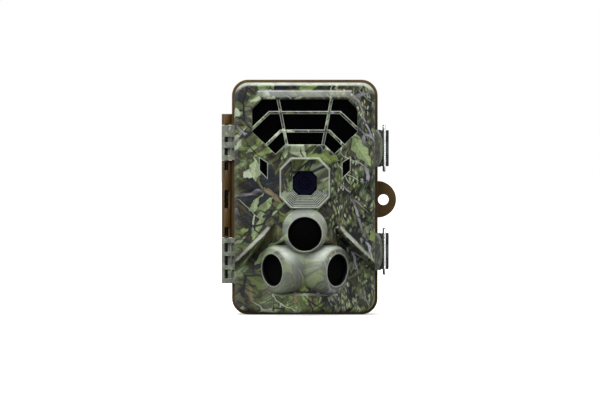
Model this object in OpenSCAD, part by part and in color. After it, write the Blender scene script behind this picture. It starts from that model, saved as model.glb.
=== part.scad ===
// Trail camera: a clamshell case with a fan of infrared lamps, a hooded lens, three
// motion sensors, two wire-bail toggle latches and a tripod socket.
// +Z is up, the lens looks along -Y and +X is the viewer's right.
// The origin is the mouth of the tripod socket, in the middle of the base.

/* [Case] */
// Width of the rear half
case_w = 83.8; // [83.4:0.1:84.2]
// Height of the rear half
case_h = 135; // [134:0.5:136]
// Radius of the rear half's corners
case_r = 9.3; // [8:0.1:10.5]
// Back of the rear half
rear_y = 17; // [17:0.5:20]
// Front plane of the front half
face_y = -47; // [-48:0.5:-47]
// How far the front half sits inside the rear half's outline
front_inset = 1.7; // [1.4:0.1:1.9]
// Wall of the rear half
rear_wall = 3; // [2.6:0.1:3.2]
// Wall of the front half
front_wall = 2.3; // [2:0.1:2.5]

/* [Hinge] */
// Radius of the knuckles
knuckle_r = 2.75; // [2.5:0.05:2.9]
// Radius of the hinge pin
hinge_pin_r = 1.2; // [1:0.1:1.4]

/* [Latches] */
// Height of the upper latch
upper_latch_z = 95.6; // [95:0.1:96]
// Height of the lower latch
lower_latch_z = 36.3; // [36:0.1:37]
// Radius of the bail wire
wire_r = 0.8; // [0.7:0.05:0.85]
// Height of a lever plate
lever_h = 20.7; // [19:0.1:21]

/* [Lens and sensors] */
// Height of the lens axis
lens_z = 75.8; // [75:0.1:76.5]
// Half width of the lens hood
hood_r = 14.4; // [14:0.1:14.8]
// Height of the main motion sensor
pir_z = 46.7; // [46:0.1:47.5]
// Radius of the main sensor window
pir_r = 9.7; // [9.4:0.1:10]
// Height of the side sensors
side_pir_z = 26; // [25.5:0.1:26.5]
// Radius of the side sensor windows
side_pir_r = 9.1; // [8.8:0.1:9.3]
// Angle between a side sensor's view and straight ahead
side_pir_turn = 51; // [50:1:52]
// How far a side sensor looks down
side_pir_dip = 5; // [4:0.5:6]

/* [Mounting] */
// Radius of the wall of the 1/4"-20 tripod thread
tripod_r = 2.55; // [2.5:0.01:2.6]
// Depth of the tripod socket
tripod_depth = 8; // [7:0.5:9]
// Radius of the padlock hole
padlock_r = 3.1; // [2.9:0.1:3.2]

/* [Hidden] */
$fn = 48;

mid_z = case_h / 2;
parting_y = -13;                     // plane where the two halves meet
front_w = case_w - 2 * front_inset;
front_h = case_h - 2 * front_inset;
front_r = case_r - 1;
front_back_y = parting_y - 0.1;      // the halves close on the gasket
face_t = 2.4;                        // thickness of the front half's face
lap = 1;                             // how far a feature reaches into the wall it grows from
fit = 0.05;                          // radial clearance of a turning fit
seat = 0.1;                          // clearance round a part in its seat

hinge_x = -45;                       // hinge axis, sideways
latch_z = [upper_latch_z, lower_latch_z];
pivot_x = 46.2;                      // lever pivots, sideways and front to back
pivot_y = -8;

hood_y = -50;                        // front of the lens hood
hood_chamfer = 6.4;
step_pitch = 1.05;                   // width of one step in the hood
step_count = 7;
lens_window_r = 6.85;
lens_window_chamfer = 3.2;
lens_window_y = -43.6;
step_depth = 0.9;                    // each step in the hood lies this much deeper

collar_y = -49.6;                    // front of the main sensor's collar
collar_r = 12.4;
collar_z = pir_z + 2.2;

side_pir_x = 18.7;                   // middle of a side sensor's rim, sideways and front to back
side_pir_y = -42.3;
side_rim_r = side_pir_r + 1.2;
side_dome_r = 14.3;
side_dome_lip = 4.2;                 // depth over which the dome widens from its rim
side_dome_len = 14;
chin_x = 18.5;                       // half width of the ledge below the side sensors
chin_y = -43.5;
chin_z = 12;

fan_top = 123.7;
fan_rib = 1.7;
filter_y = -45.5;

wing_z = [90, 83.3, 87.3, 79];       // corners of a small side window: outer pair, inner pair
wing_x = [25.7, 21.6];

cell_r = 7.25;
cell_len = 50.5;
cell_pitch = 15.2;
cell_y = 5.6;
cell_z = [14.5, 70.5];               // bottoms of the lower and upper rows
cell_count = 4;

panel_y = -14;                       // face of the inner panel, seen with the case open
panel_t = 2;
key_r = 3.4;
key_travel = 0.6;
key_home = [0, 36];
key_step = 11;

// ---------------------------------------------------------------- helpers

// Extrudes a front-view outline from y0 back to y1
module along_y(y0, y1) {
    translate([0, y1, 0])
        rotate([90, 0, 0])
            linear_extrude(y1 - y0)
                children();
}

// Rounded rectangle with true arcs
module rounded_rect(w, h, r) {
    square([w, h - 2 * r], center = true);
    square([w - 2 * r, h], center = true);
    for (sx = [-1, 1], sy = [-1, 1])
        translate([sx * (w / 2 - r), sy * (h / 2 - r)])
            circle(r);
}

// Square with its corners cut off, half width r
module octagon(r, c) {
    polygon([for (q = [0:3], s = [0, 1])
        let (a = s == 0 ? [r, r - c] : [r - c, r], t = 90 * q)
            [a[0] * cos(t) - a[1] * sin(t), a[0] * sin(t) + a[1] * cos(t)]]);
}

// A block between two corners
module block(a, b) {
    translate(a)
        cube(b - a);
}

// A cylinder whose axis runs front to back
module rod_y(r, y0, y1) {
    translate([0, y1, 0])
        rotate([90, 0, 0])
            cylinder(r = r, h = y1 - y0);
}

// Mirrors its children to both sides of the middle plane
module both_sides() {
    children();
    mirror([1, 0, 0])
        children();
}

// Outline of the fan of lamps, grown by g
module fan_outline(g = 0) {
    half = [[24.3 + 0.4 * g, fan_top + g], [30.1 + g, 118 + 0.4 * g], [30.1 + g, 105.2 - 0.4 * g],
            [16.8, 92.5 - 1.4 * g], [11.2 - 0.6 * g, 97.8 - g]];
    last = len(half) - 1;
    polygon(concat(half, [for (i = [last:-1:0]) [-half[i][0], half[i][1]]]));
}

// Outline of the right-hand small window
module wing_outline(grow = 0) {
    polygon([[wing_x[0] + grow, wing_z[0] + grow], [wing_x[0] + grow, wing_z[1] - grow / 2],
             [wing_x[1] - grow, wing_z[3] - grow], [wing_x[1] - grow, wing_z[2] + grow / 2]]);
}

// A straight rib between two front-view points
module fan_rib_line(a, b) {
    d = b - a;
    translate(a)
        rotate(atan2(d[1], d[0]))
            translate([-0.3, -fan_rib / 2])
                square([norm(d) + 0.6, fan_rib]);
}

module fan_ribs() {
    for (s = [-1, 1]) {
        fan_rib_line([0, 116.1], [s * 20.2, 116.1]);
        fan_rib_line([s * 20.2, 116.1], [s * 31, 105.9]);
        fan_rib_line([0, 105.5], [s * 13.9, 105.5]);
        fan_rib_line([s * 13.9, 105.5], [s * 23.4, 96.2]);
        fan_rib_line([s * 15.4, 124.4], [s * 10.2, 97.2]);
    }
}

// Places children on the right side sensor's axis, which then runs along +Z outwards
module on_side_pir() {
    translate([side_pir_x, side_pir_y, side_pir_z])
        rotate([0, 0, side_pir_turn])
            rotate([90 + side_pir_dip, 0, 0])
                children();
}

// ---------------------------------------------------------------- rear half

module rear_outline(grow = 0) {
    translate([0, mid_z])
        rounded_rect(case_w + 2 * grow, case_h + 2 * grow, case_r + grow);
}

module rear_knuckle(z0, z1) {
    translate([hinge_x, parting_y, z0])
        cylinder(r = knuckle_r, h = z1 - z0);
    block([hinge_x, parting_y + 0.1, z0], [-case_w / 2 + lap, parting_y + knuckle_r - 0.4, z1]);
}

// Half-round lug with the padlock hole
module padlock_eye() {
    along_y(parting_y + 0.2, parting_y + 5.2)
        difference() {
            translate([case_w / 2 + 0.1, 66.2])
                circle(10.5);
            translate([45.2, 66])
                circle(padlock_r);
        }
}

module latch_lug(z) {
    lug_h = 8;
    translate([pivot_x, pivot_y, z - lug_h / 2])
        cylinder(r = 2, h = lug_h);
    block([case_w / 2 - lap, pivot_y - 1.7, z - lug_h / 2], [pivot_x, pivot_y + 1.7, z + lug_h / 2]);
}

jaw_x = 19;
jaw_t = 4.5;
jaw_y = 24;
jaw_z = [18, 118];
strap_z = [38, 98];
strap_w = 28;
strap_t = 4;

// A toothed rib that bites the tree, with two slots for the strap
module tree_jaw() {
    teeth = 20;
    pitch = (jaw_z[1] - jaw_z[0]) / teeth;
    bite = 2;
    difference() {
        block([jaw_x, rear_y - lap, jaw_z[0]], [jaw_x + jaw_t, jaw_y, jaw_z[1]]);
        for (i = [0:teeth - 1])
            translate([jaw_x - lap, jaw_y, jaw_z[0] + (i + 0.5) * pitch])
                rotate([90, 0, 90])
                    linear_extrude(jaw_t + 2 * lap)
                        polygon([[0.5, -pitch / 2], [0.5, pitch / 2], [-bite, 0]]);
        for (z = strap_z)
            block([jaw_x - lap, rear_y + 0.2, z - strap_w / 2],
                  [jaw_x + jaw_t + lap, rear_y + 0.2 + strap_t, z + strap_w / 2]);
    }
}

jack_x = -22;
jack_y = 4;
cover_pivot_y = 11;
cover_z = 1;

module rear_shell() {
    floor_t = 2.2;
    color("saddlebrown")
        difference() {
            union() {
                along_y(parting_y, rear_y - 1.2)
                    rear_outline();
                along_y(rear_y - 1.2 - lap, rear_y)
                    rear_outline(-1.2);
                rear_knuckle(109, 115.3);
                rear_knuckle(44.2, 88.6);
                padlock_eye();
                for (z = latch_z)
                    latch_lug(z);
                both_sides()
                    tree_jaw();
            }
            difference() {
                along_y(parting_y - lap, rear_y - floor_t)
                    rear_outline(-rear_wall);
                translate([0, 0, -lap])
                    cylinder(r = 8, h = 11 + lap);
                block([jack_x - 9.5, -6, -lap], [jack_x + 9.5, rear_y, 3.6]);
            }
            // groove for the gasket
            along_y(parting_y - lap, parting_y + 1.3)
                difference() {
                    rear_outline(-1.9);
                    rear_outline(-3.3);
                }
            // bore of the hinge, with the pockets that the mould cores leave
            translate([hinge_x, parting_y, 40])
                cylinder(r = hinge_pin_r + fit, h = 80);
            for (p = [[83, 88], [61, 71.4], [45, 50.2]])
                block([hinge_x - 1.15, parting_y - 4, p[0]], [hinge_x + 1.9, parting_y - 0.9, p[1]]);
            for (z = latch_z)
                translate([pivot_x, pivot_y, z - 12])
                    cylinder(r = 1 + fit, h = 24);
            // seat of the tripod insert
            translate([0, 0, -lap])
                cylinder(r = 5 + fit, h = tripod_depth + lap + seat);
            // pocket of the port cover, and the hole for the power socket
            block([jack_x - 8, -3.2, -lap], [jack_x + 8, cover_pivot_y + 1.1, 2.05]);
            translate([jack_x, jack_y, -lap])
                cylinder(r = 4.1, h = 12);
        }
}

module gasket() {
    color("dimgray")
        along_y(parting_y + 0.05, parting_y + 1.25)
            difference() {
                rear_outline(-2);
                rear_outline(-3.2);
            }
}

module hinge_pin() {
    color("silver")
        translate([hinge_x, parting_y, 18.6])
            cylinder(r = hinge_pin_r, h = 96);
}

module latch_pins() {
    color("silver")
        for (z = latch_z)
            translate([pivot_x, pivot_y, z - lever_h / 2 + 0.1])
                cylinder(r = 1, h = lever_h - 0.2);
}

module tripod_insert() {
    color("goldenrod")
        difference() {
            cylinder(r = 5, h = tripod_depth);
            translate([0, 0, -lap])
                cylinder(r = tripod_r, h = tripod_depth + 2 * lap);
        }
}

tray_w = 66;
tray_z = [11.8, 127];
tray_back_y = 14.7;
tray_front_y = -2;
tray_screw_x = tray_w / 2 - 1.2;
tray_screw_z = (cell_z[0] + cell_len + cell_z[1]) / 2;

module battery_tray() {
    rib_t = 1.4;
    color("darkslategray")
        difference() {
            block([-tray_w / 2, tray_front_y, tray_z[0]], [tray_w / 2, tray_back_y, tray_z[1]]);
            for (z = cell_z)
                for (i = [0:cell_count - 1])
                    block([(i - 2) * cell_pitch + rib_t / 2 - 0.45, tray_front_y - lap, z - 1.2],
                          [(i - 1) * cell_pitch - rib_t / 2 + 0.45, tray_back_y - rib_t, z + cell_len + 4.1]);
            for (s = [-1, 1])
                translate([s * tray_screw_x, 0, tray_screw_z])
                    rod_y(1.3, -20, 20);
        }
}

module tray_screws() {
    color("silver")
        for (s = [-1, 1])
            translate([s * tray_screw_x, 0, tray_screw_z]) {
                rod_y(1.2, tray_front_y, tray_back_y);
                rod_y(2.2, tray_front_y - 1.4, tray_front_y - 0.1);
            }
}

// One row of cells; each points the opposite way to its neighbour
module aa_row(z) {
    nub = 1.2;
    for (i = [0:cell_count - 1])
        translate([(i - 1.5) * cell_pitch, cell_y, z + (i % 2 == 0 ? 0 : cell_len)])
            mirror([0, 0, i % 2]) {
                cylinder(r = cell_r, h = cell_len - nub);
                cylinder(r = 2.7, h = cell_len);
            }
}

module aa_cells_lower() {
    color("dimgray")
        aa_row(cell_z[0]);
}

module aa_cells_upper() {
    color("dimgray")
        aa_row(cell_z[1]);
}

// Springs press on the flat ends of the even cells, at the bottom, and of the odd ones, at the top
module battery_springs() {
    spring_h = 0.9;
    color("silver")
        for (z = cell_z, i = [0:cell_count - 1])
            translate([(i - 1.5) * cell_pitch, cell_y, z + (i % 2 == 0 ? -0.05 : cell_len + 0.05)])
                mirror([0, 0, (i + 1) % 2])
                    cylinder(r1 = 3, r2 = 4.6, h = i % 2 == 0 ? spring_h : 3.4);
}

module contact_plates() {
    color("silver")
        for (z = cell_z, i = [0:cell_count - 1]) {
            x = (i - 1.5) * cell_pitch;
            block([x - 5.5, cell_y - 6, z + cell_len + 3.6], [x + 5.5, cell_y + 6, z + cell_len + 4]);
        }
}

module dc_jack() {
    color("black")
        translate([jack_x, jack_y, 2.15])
            difference() {
                union() {
                    cylinder(r = 4, h = 9);
                    translate([0, 0, 1.5])
                        cylinder(r = 4.8, h = 7.5);
                }
                difference() {
                    translate([0, 0, -lap])
                        cylinder(r = 2.75, h = 8 + lap);
                    cylinder(r = 1, h = 10);
                }
            }
}

module port_cover() {
    t = 1.7;
    color("black") {
        translate([jack_x - 7.7, cover_pivot_y, cover_z])
            rotate([0, 90, 0])
                cylinder(r = t / 2, h = 15.4);
        difference() {
            block([jack_x - 7.7, -2.9, cover_z - t / 2 + 0.02],
                  [jack_x + 7.7, cover_pivot_y, cover_z + t / 2 - 0.02]);
            block([jack_x - 3, -4, -0.1], [jack_x + 3, -2.1, 0.8]);
        }
    }
}

// ---------------------------------------------------------------- front half

module front_outline(grow = 0) {
    translate([0, mid_z])
        rounded_rect(front_w + 2 * grow, front_h + 2 * grow, front_r + grow);
}

module front_lug(z0, z1) {
    translate([hinge_x, parting_y, z0])
        cylinder(r = knuckle_r, h = z1 - z0);
    block([hinge_x, parting_y - 2.4, z0], [-front_w / 2 + lap, front_back_y, z1]);
}

module catch_block(z) {
    h = 21.3;
    root_x = front_w / 2 - lap;
    translate([0, 0, z - h / 2])
        linear_extrude(h)
            polygon([[root_x, -16], [46.4, -16], [46.4, -20], [44.7, -20], [44.7, -25.5],
                     [43.2, -27.5], [root_x, -28.5]]);
}

// Recess in each side of the face, above the side sensors; grown by g it leaves the wall behind it
module side_recess(g = 0) {
    depth = 2.2;
    along_y(face_y - lap, face_y + depth + g)
        polygon([[50, 79 + g], [38, 74 + g], [25.4 - g, 66.6 + g], [20.6 - g, 54.8], [20.6 - g, 50.1 - g],
                 [22.8 - g, 47.4 - g], [37.8 - g, 32.4 - g], [50, 27 - g]]);
}

// Clears the view of a side sensor below a slanting rib; grown by g it leaves the wall behind it
module view_cutaway(g = 0) {
    below = -20;
    intersection() {
        translate([0, 0, below])
            linear_extrude(80)
                polygon([[-g, -60], [-g, -40 + g], [17.2, -39 + g], [24.4, -34.4 + g],
                         [50, -28.2 + g], [50, -60]]);
        along_y(-60, 0)
            polygon([[-g, below], [-g, 41.5 + g], [17.2, 41.5 + g], [17.2, 50.1 + g], [20.8, 45.6 + g],
                     [35.9, 30.5 + g], [50, 21.5 + g], [50, below]]);
    }
}

// Bulge that carries a side sensor: a wide lip, then a straight barrel back to the middle
module side_dome() {
    on_side_pir()
        translate([0, 0, -side_dome_lip]) {
            cylinder(r1 = side_dome_r, r2 = side_rim_r, h = side_dome_lip);
            translate([0, 0, side_dome_lip - side_dome_len])
                cylinder(r = side_dome_r, h = side_dome_len - side_dome_lip);
        }
}

module lens_hood_cut() {
    for (i = [0:step_count])
        translate([0, 0, lens_z])
            along_y(hood_y - lap, hood_y + 0.2 + i * step_depth)
                octagon(hood_r - 0.6 - i * step_pitch, hood_chamfer - 0.2 - i * 0.42);
    translate([0, 0, lens_z])
        along_y(hood_y - lap, lens_window_y + 2)
            octagon(lens_window_r, lens_window_chamfer);
}

module front_cavity() {
    difference() {
        along_y(face_y + face_t, 0)
            front_outline(-front_wall);
        both_sides() {
            side_recess(1.6);
            view_cutaway(front_wall);
        }
        block([-25, face_y, 8], [25, -31, 45]);
        // pocket that holds the lens window behind the hood
        translate([0, 0, lens_z])
            along_y(face_y, lens_window_y + 2)
                octagon(lens_window_r + 3, 5);
    }
}

// Body of the front half: rounded towards the face, with its recesses
module front_body() {
    edge = 2.6;
    difference() {
        union() {
            along_y(face_y + edge, front_back_y)
                front_outline();
            hull() {
                along_y(face_y + edge - 0.1, face_y + edge)
                    front_outline($fn = 32);
                along_y(face_y, face_y + edge)
                    front_outline(-edge * 0.9, $fn = 32);
            }
        }
        both_sides() {
            side_recess();
            view_cutaway();
        }
    }
}

// What stands on the body: frame of the fan, lens hood, sensor mounts, hinge knuckles and catches
module front_features() {
    along_y(face_y - 1, face_y + lap)
        fan_outline(3);
    translate([0, 0, lens_z])
        along_y(hood_y, face_y + lap)
            octagon(hood_r, hood_chamfer);
    translate([0, 0, collar_z])
        rod_y(collar_r, collar_y, face_y + lap);
    both_sides()
        side_dome();
    block([-chin_x, chin_y, mid_z - front_h / 2], [chin_x, -36, chin_z]);
    front_lug(88.8, 108.8);
    front_lug(17.9, 44);
    for (z = latch_z)
        catch_block(z);
}

// Openings of the fan, crossed by its ribs, and of the windows and sensors
module front_openings() {
    through_y = face_y + face_t + lap;
    along_y(face_y - 2 * lap, through_y)
        difference() {
            fan_outline();
            fan_ribs();
        }
    along_y(filter_y, through_y)
        fan_outline();
    both_sides() {
        along_y(face_y - lap, through_y)
            wing_outline();
        on_side_pir()
            translate([0, 0, -side_dome_len - 6])
                cylinder(r = side_pir_r, h = side_dome_len + 24);
    }
    translate([0, 0, pir_z])
        rod_y(pir_r, collar_y - lap, -30);
}

// Bore of the hinge, with the pockets that the mould cores leave
module front_hinge_bore() {
    translate([hinge_x, parting_y, 10])
        cylinder(r = hinge_pin_r + fit, h = 110);
    for (p = [[36, 41.1], [28.3, 33.6], [20.8, 25.9], [99, 102.1], [91.5, 95.7]])
        block([hinge_x - 1.15, parting_y - 4, p[0]], [hinge_x + 1.6, parting_y - 0.9, p[1]]);
}

module front_shell() {
    color("olivedrab")
        difference() {
            union() {
                front_body();
                front_features();
            }
            front_cavity();
            lens_hood_cut();
            front_openings();
            front_hinge_bore();
        }
}

module led_window() {
    color("black")
        along_y(filter_y + 0.1, face_y + face_t + 0.2)
            fan_outline(-seat);
}

led_r = 2.5;
led_board_y = -36;
lamp_pitch = [6.6, 6.2];

// A lamp fits where it stays inside the fan's slanted sides
function lamp_fits(x, z) =
    abs(x) + z < 145.5 && abs(x) < 27 && (z > 100 ? abs(x) - z < -83.3 : abs(abs(x) - 16.5) < 1);

module ir_leds() {
    color("lightgray")
        for (i = [-4:3], j = [0:4])
            let (x = (i + 0.5) * lamp_pitch[0], z = 120.2 - j * lamp_pitch[1])
                if (lamp_fits(x, z))
                    translate([x, 0, z]) {
                        rod_y(led_r, led_board_y - 5, led_board_y - 0.05);
                        translate([0, led_board_y - 5, 0])
                            sphere(r = led_r - 0.02);
                    }
}

module led_board() {
    color("darkgreen")
        along_y(led_board_y, led_board_y + 1.6)
            translate([0, 108.5])
                square([60, 31], center = true);
}

module wing_window() {
    along_y(face_y + 0.5, face_y + 2.2)
        wing_outline(-seat);
}

module light_sensor_window() {
    color("black")
        wing_window();
}

module indicator_window() {
    color("black")
        mirror([1, 0, 0])
            wing_window();
}

module wing_lamp() {
    r = 1.5;
    translate([23.6, 0, 84.8]) {
        rod_y(r, face_y + 4.5, face_y + 9);
        translate([0, face_y + 4.5, 0])
            sphere(r = r - 0.02);
    }
}

module light_sensor() {
    color("lightgray")
        wing_lamp();
}

module indicator_led() {
    color("firebrick")
        mirror([1, 0, 0])
            wing_lamp();
}

module lens_window() {
    color("midnightblue")
        translate([0, 0, lens_z])
            along_y(lens_window_y, lens_window_y + 1)
                octagon(lens_window_r - seat, lens_window_chamfer);
}

barrel_y = lens_window_y + 2.2;

// Turned barrel, open at both ends and stepped towards the front
module lens_barrel() {
    color("black")
        translate([0, barrel_y, lens_z])
            rotate([-90, 0, 0])
                rotate_extrude()
                    polygon([[4.9, 0], [6.4, 0], [6.4, 2], [7.6, 2], [7.6, 6.9], [3.6, 6.9],
                             [3.6, 5], [5.2, 5], [5.2, 0.5]]);
}

// Front and rear glasses, inside the barrel
module lens_element() {
    color("lightsteelblue")
        translate([0, barrel_y, lens_z])
            rotate([-90, 0, 0]) {
                translate([0, 0, 0.9])
                    cylinder(r = 5.1, h = 1.6);
                translate([0, 0, 5.3])
                    cylinder(r = 3.5, h = 1.4);
            }
}

holder_y = barrel_y + 7;
holder_t = 6.5;
filter_travel = 6;
filter_gap_y = holder_y + 2.4;

module lens_holder() {
    color("dimgray")
        difference() {
            block([-12, holder_y, lens_z - 8], [12, holder_y + holder_t, lens_z + 8]);
            translate([0, 0, lens_z])
                rod_y(4, holder_y - lap, holder_y + holder_t + lap);
            block([-10.4, filter_gap_y, lens_z - 4.4], [10.4, filter_gap_y + 1.6, lens_z + 4.4]);
        }
}

// Sliding frame with two panes: one clear, one that blocks infrared
module ir_cut_filter() {
    color("indianred")
        difference() {
            block([-4, filter_gap_y + 0.2, lens_z - 4.2], [10, filter_gap_y + 1.4, lens_z + 4.2]);
            for (x = [0, filter_travel])
                translate([x, 0, lens_z])
                    rod_y(2.4, filter_gap_y, filter_gap_y + 0.5);
        }
}

module image_sensor() {
    y0 = holder_y + holder_t + 0.2;
    color("darkgreen") {
        block([-11, y0, lens_z - 9], [11, y0 + 1.2, lens_z + 9]);
        block([-2.5, y0 - 1.1, lens_z - 2.5], [2.5, y0 + 0.1, lens_z + 2.5]);
    }
}

// Shallow domed window, thin at the rim, turned about its own axis
module fresnel_cap(r) {
    rise = 1.4;
    dome_r = (r * r + rise * rise) / (2 * rise);
    intersection() {
        cylinder(r = r, h = rise + 1);
        translate([0, 0, rise + 1 - dome_r])
            sphere(r = dome_r, $fn = 96);
    }
}

module pir_lens_main() {
    color("black")
        translate([0, face_y + 1.2, pir_z])
            rotate([90, 0, 0])
                fresnel_cap(pir_r - seat);
}

module pir_lens_right() {
    color("black")
        on_side_pir()
            translate([0, 0, -3.2])
                fresnel_cap(side_pir_r - seat);
}

module pir_lens_left() {
    color("black")
        mirror([1, 0, 0])
            on_side_pir()
                translate([0, 0, -3.2])
                    fresnel_cap(side_pir_r - seat);
}

can_r = 4.1;
can_h = 3.5;

module pir_sensors() {
    color("silver") {
        translate([0, face_y + 13, pir_z])
            rotate([90, 0, 0])
                cylinder(r = can_r, h = can_h);
        both_sides()
            on_side_pir()
                translate([0, 0, -13])
                    cylinder(r = can_r, h = can_h);
    }
}

module pir_boards() {
    color("darkgreen") {
        translate([0, face_y + 13.1, pir_z])
            rotate([-90, 0, 0])
                translate([-7, -6, 0])
                    cube([14, 12, 1.2]);
        both_sides()
            on_side_pir()
                translate([-6, -6, -14.3])
                    cube([12, 12, 1.2]);
    }
}

module main_board() {
    color("darkgreen")
        difference() {
            block([-35, -24, 40], [35, -22.4, 128]);
            block([-12, -25, 40 - lap], [12, -20, 54]);
        }
}

lcd_z = 92;
lcd_size = [50, 38];

module lcd_module() {
    color("silver")
        along_y(panel_y - 6.5, panel_y - panel_t - 0.2)
            translate([0, lcd_z])
                square(lcd_size + [6, 6], center = true);
}

module lcd_window() {
    color("black")
        along_y(panel_y - 1.9, panel_y - 0.2)
            translate([0, lcd_z])
                square(lcd_size, center = true);
}

// Front-view places of the keys, by name
function key_place(dx, dz) = [key_home[0] + dx * key_step, key_home[1] + dz * key_step];
key_spots = [key_place(0, 1), key_place(0, -1), key_place(-1, 0), key_place(1, 0),
             key_place(0, 0), key_place(-2.2, 1)];
switch_spot = [26, 52];
speaker_spot = [-25, 60];
card_spot = [20, 24];
usb_spot = [-26, 24];

screw_spots = [for (x = [-33, 33], z = [10, 70, 124]) [x, z]];

module inner_panel() {
    color("dimgray")
        difference() {
            along_y(panel_y - panel_t, panel_y)
                front_outline(-front_wall - 0.15);
            along_y(panel_y - panel_t - lap, panel_y + lap)
                translate([0, lcd_z])
                    square(lcd_size + [2 * seat, 2 * seat], center = true);
            for (p = key_spots)
                translate([p[0], 0, p[1]])
                    rod_y(key_r + 0.15, panel_y - panel_t - lap, panel_y + lap);
            block([switch_spot[0] - 5.3, panel_y - 4, switch_spot[1] - 1.9],
                  [switch_spot[0] + 5.3, panel_y + lap, switch_spot[1] + 1.9]);
            block([card_spot[0] - 5.8, panel_y - 4, card_spot[1] - 0.8],
                  [card_spot[0] + 5.8, panel_y + lap, card_spot[1] + 0.8]);
            block([usb_spot[0] - 4.2, panel_y - 4, usb_spot[1] - 2.2],
                  [usb_spot[0] + 4.2, panel_y + lap, usb_spot[1] + 2.2]);
            for (i = [0:5])
                translate([speaker_spot[0] + 4 * cos(60 * i), 0, speaker_spot[1] + 4 * sin(60 * i)])
                    rod_y(0.9, panel_y - panel_t - lap, panel_y + lap);
            for (p = screw_spots)
                translate([p[0], 0, p[1]])
                    rod_y(1.5, panel_y - panel_t - lap, panel_y + lap);
        }
}

module panel_screws() {
    color("silver")
        for (p = screw_spots)
            translate([p[0], 0, p[1]]) {
                rod_y(1.4, panel_y - 5, panel_y);
                rod_y(2.6, panel_y + 0.05, panel_y + 1.1);
            }
}

module key_board() {
    switch_size = 4.4;
    color("darkgreen") {
        block([-30, -20.6, 31], [16, -19.4, 52]);
        block([-12, -20.6, 20], [11, -19.4, 32]);
        for (p = key_spots)
            block([p[0] - switch_size / 2, -19.5, p[1] - switch_size / 2],
                  [p[0] + switch_size / 2, -17.8, p[1] + switch_size / 2]);
    }
}

// A key cap with a flange that keeps it behind the panel
module key_cap(p) {
    translate([p[0], 0, p[1]]) {
        rod_y(key_r, panel_y - panel_t - 0.5, panel_y + 1.2);
        rod_y(key_r + 0.8, panel_y - panel_t - 1.1, panel_y - panel_t - 0.15);
    }
}

module key_up() {
    color("gray") key_cap(key_spots[0]);
}

module key_down() {
    color("gray") key_cap(key_spots[1]);
}

module key_left() {
    color("gray") key_cap(key_spots[2]);
}

module key_right() {
    color("gray") key_cap(key_spots[3]);
}

module key_ok() {
    color("gray") key_cap(key_spots[4]);
}

module key_menu() {
    color("gray") key_cap(key_spots[5]);
}

module power_switch() {
    x = switch_spot[0];
    z = switch_spot[1];
    color("black") {
        block([x - 2.6, panel_y - panel_t - 0.5, z - 1.7], [x + 2.6, panel_y + 1.3, z + 1.7]);
        block([x - 8.5, panel_y - panel_t - 1.1, z - 3.2], [x + 8.5, panel_y - panel_t - 0.15, z + 3.2]);
    }
}

module speaker() {
    color("black")
        translate([speaker_spot[0], 0, speaker_spot[1]])
            rod_y(7.2, panel_y - panel_t - 4, panel_y - panel_t - 0.2);
}

module microphone() {
    color("silver")
        translate([10, 0, 66])
            rod_y(2, panel_y - panel_t - 3, panel_y - panel_t - 0.2);
}

card_size = [11, 15, 1];
card_out = 1.2;

module card_socket() {
    x = card_spot[0];
    z = card_spot[1];
    back_y = panel_y + card_out - card_size[1];
    color("silver")
        difference() {
            block([x - 6.6, back_y - 0.4, z - 1.6], [x + 6.6, panel_y - panel_t - 0.1, z + 1.6]);
            block([x - 5.65, back_y - 0.1, z - 0.65], [x + 5.65, panel_y + lap, z + 0.65]);
        }
}

module memory_card() {
    color("black")
        translate([card_spot[0] - card_size[0] / 2, panel_y + card_out - card_size[1],
                   card_spot[1] - card_size[2] / 2])
            cube(card_size);
}

module usb_socket() {
    x = usb_spot[0];
    z = usb_spot[1];
    color("silver")
        difference() {
            block([x - 4, panel_y - 10, z - 2], [x + 4, panel_y - 0.3, z + 2]);
            block([x - 3.4, panel_y - 8.5, z - 1.4], [x + 3.4, panel_y + lap, z + 1.4]);
        }
}

// ---------------------------------------------------------------- latches

bail_y = pivot_y + 5;
bail_x = pivot_x - 0.6;
bail_reach = 18.2;
bail_half = 12.7;
bend_r = 2.5;

// Toggle lever: outer plate, barrels on the pin and cheeks that hold the bail
module lever(z) {
    half = lever_h / 2;
    color("darkslategray")
        translate([0, 0, z])
            difference() {
                union() {
                    block([46.5, pivot_y - 1.5, -half], [48.2, 9, half]);
                    for (s = [0, 1])
                        mirror([0, 0, s]) {
                            translate([pivot_x, pivot_y, 4.2])
                                cylinder(r = 1.9, h = half - 4.2);
                            block([44.1, bail_y - 1.8, 7.6], [46.6, bail_y + 1.8, half]);
                        }
                }
                // notch for the lug on the case
                block([pivot_x - 3, pivot_y - 4, -4.15], [pivot_x + 3, pivot_y + 2.3, 4.15]);
                translate([pivot_x, pivot_y, -half - lap])
                    cylinder(r = 1 + fit, h = lever_h + 2 * lap);
                for (s = [0, 1])
                    mirror([0, 0, s])
                        translate([bail_x, bail_y, 8.4])
                            cylinder(r = wire_r + fit, h = half);
            }
}

module upper_lever() {
    lever(latch_z[0]);
}

module lower_lever() {
    lever(latch_z[1]);
}

// Wire bail: a long closed end in front of the catch, two arms, and ends turned in to the lever
module bail(z) {
    c = bail_half - bend_r;
    color("silver")
        translate([bail_x, bail_y, z]) {
            translate([0, -bail_reach, -c])
                cylinder(r = wire_r, h = 2 * c);
            for (s = [0, 1])
                mirror([0, 0, s]) {
                    translate([0, -bail_reach + bend_r, c])
                        rotate([0, 90, 0])
                            rotate([0, 0, 180])
                                rotate_extrude(angle = 90)
                                    translate([bend_r, 0])
                                        circle(wire_r);
                    translate([0, -bail_reach + bend_r, bail_half])
                        rotate([-90, 0, 0])
                            cylinder(r = wire_r, h = bail_reach - bend_r);
                    translate([0, 0, 8.6])
                        cylinder(r = wire_r, h = bail_half - 8.6);
                    translate([0, 0, bail_half])
                        sphere(r = wire_r + 0.02);
                }
        }
}

module upper_bail() {
    bail(latch_z[0]);
}

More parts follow.
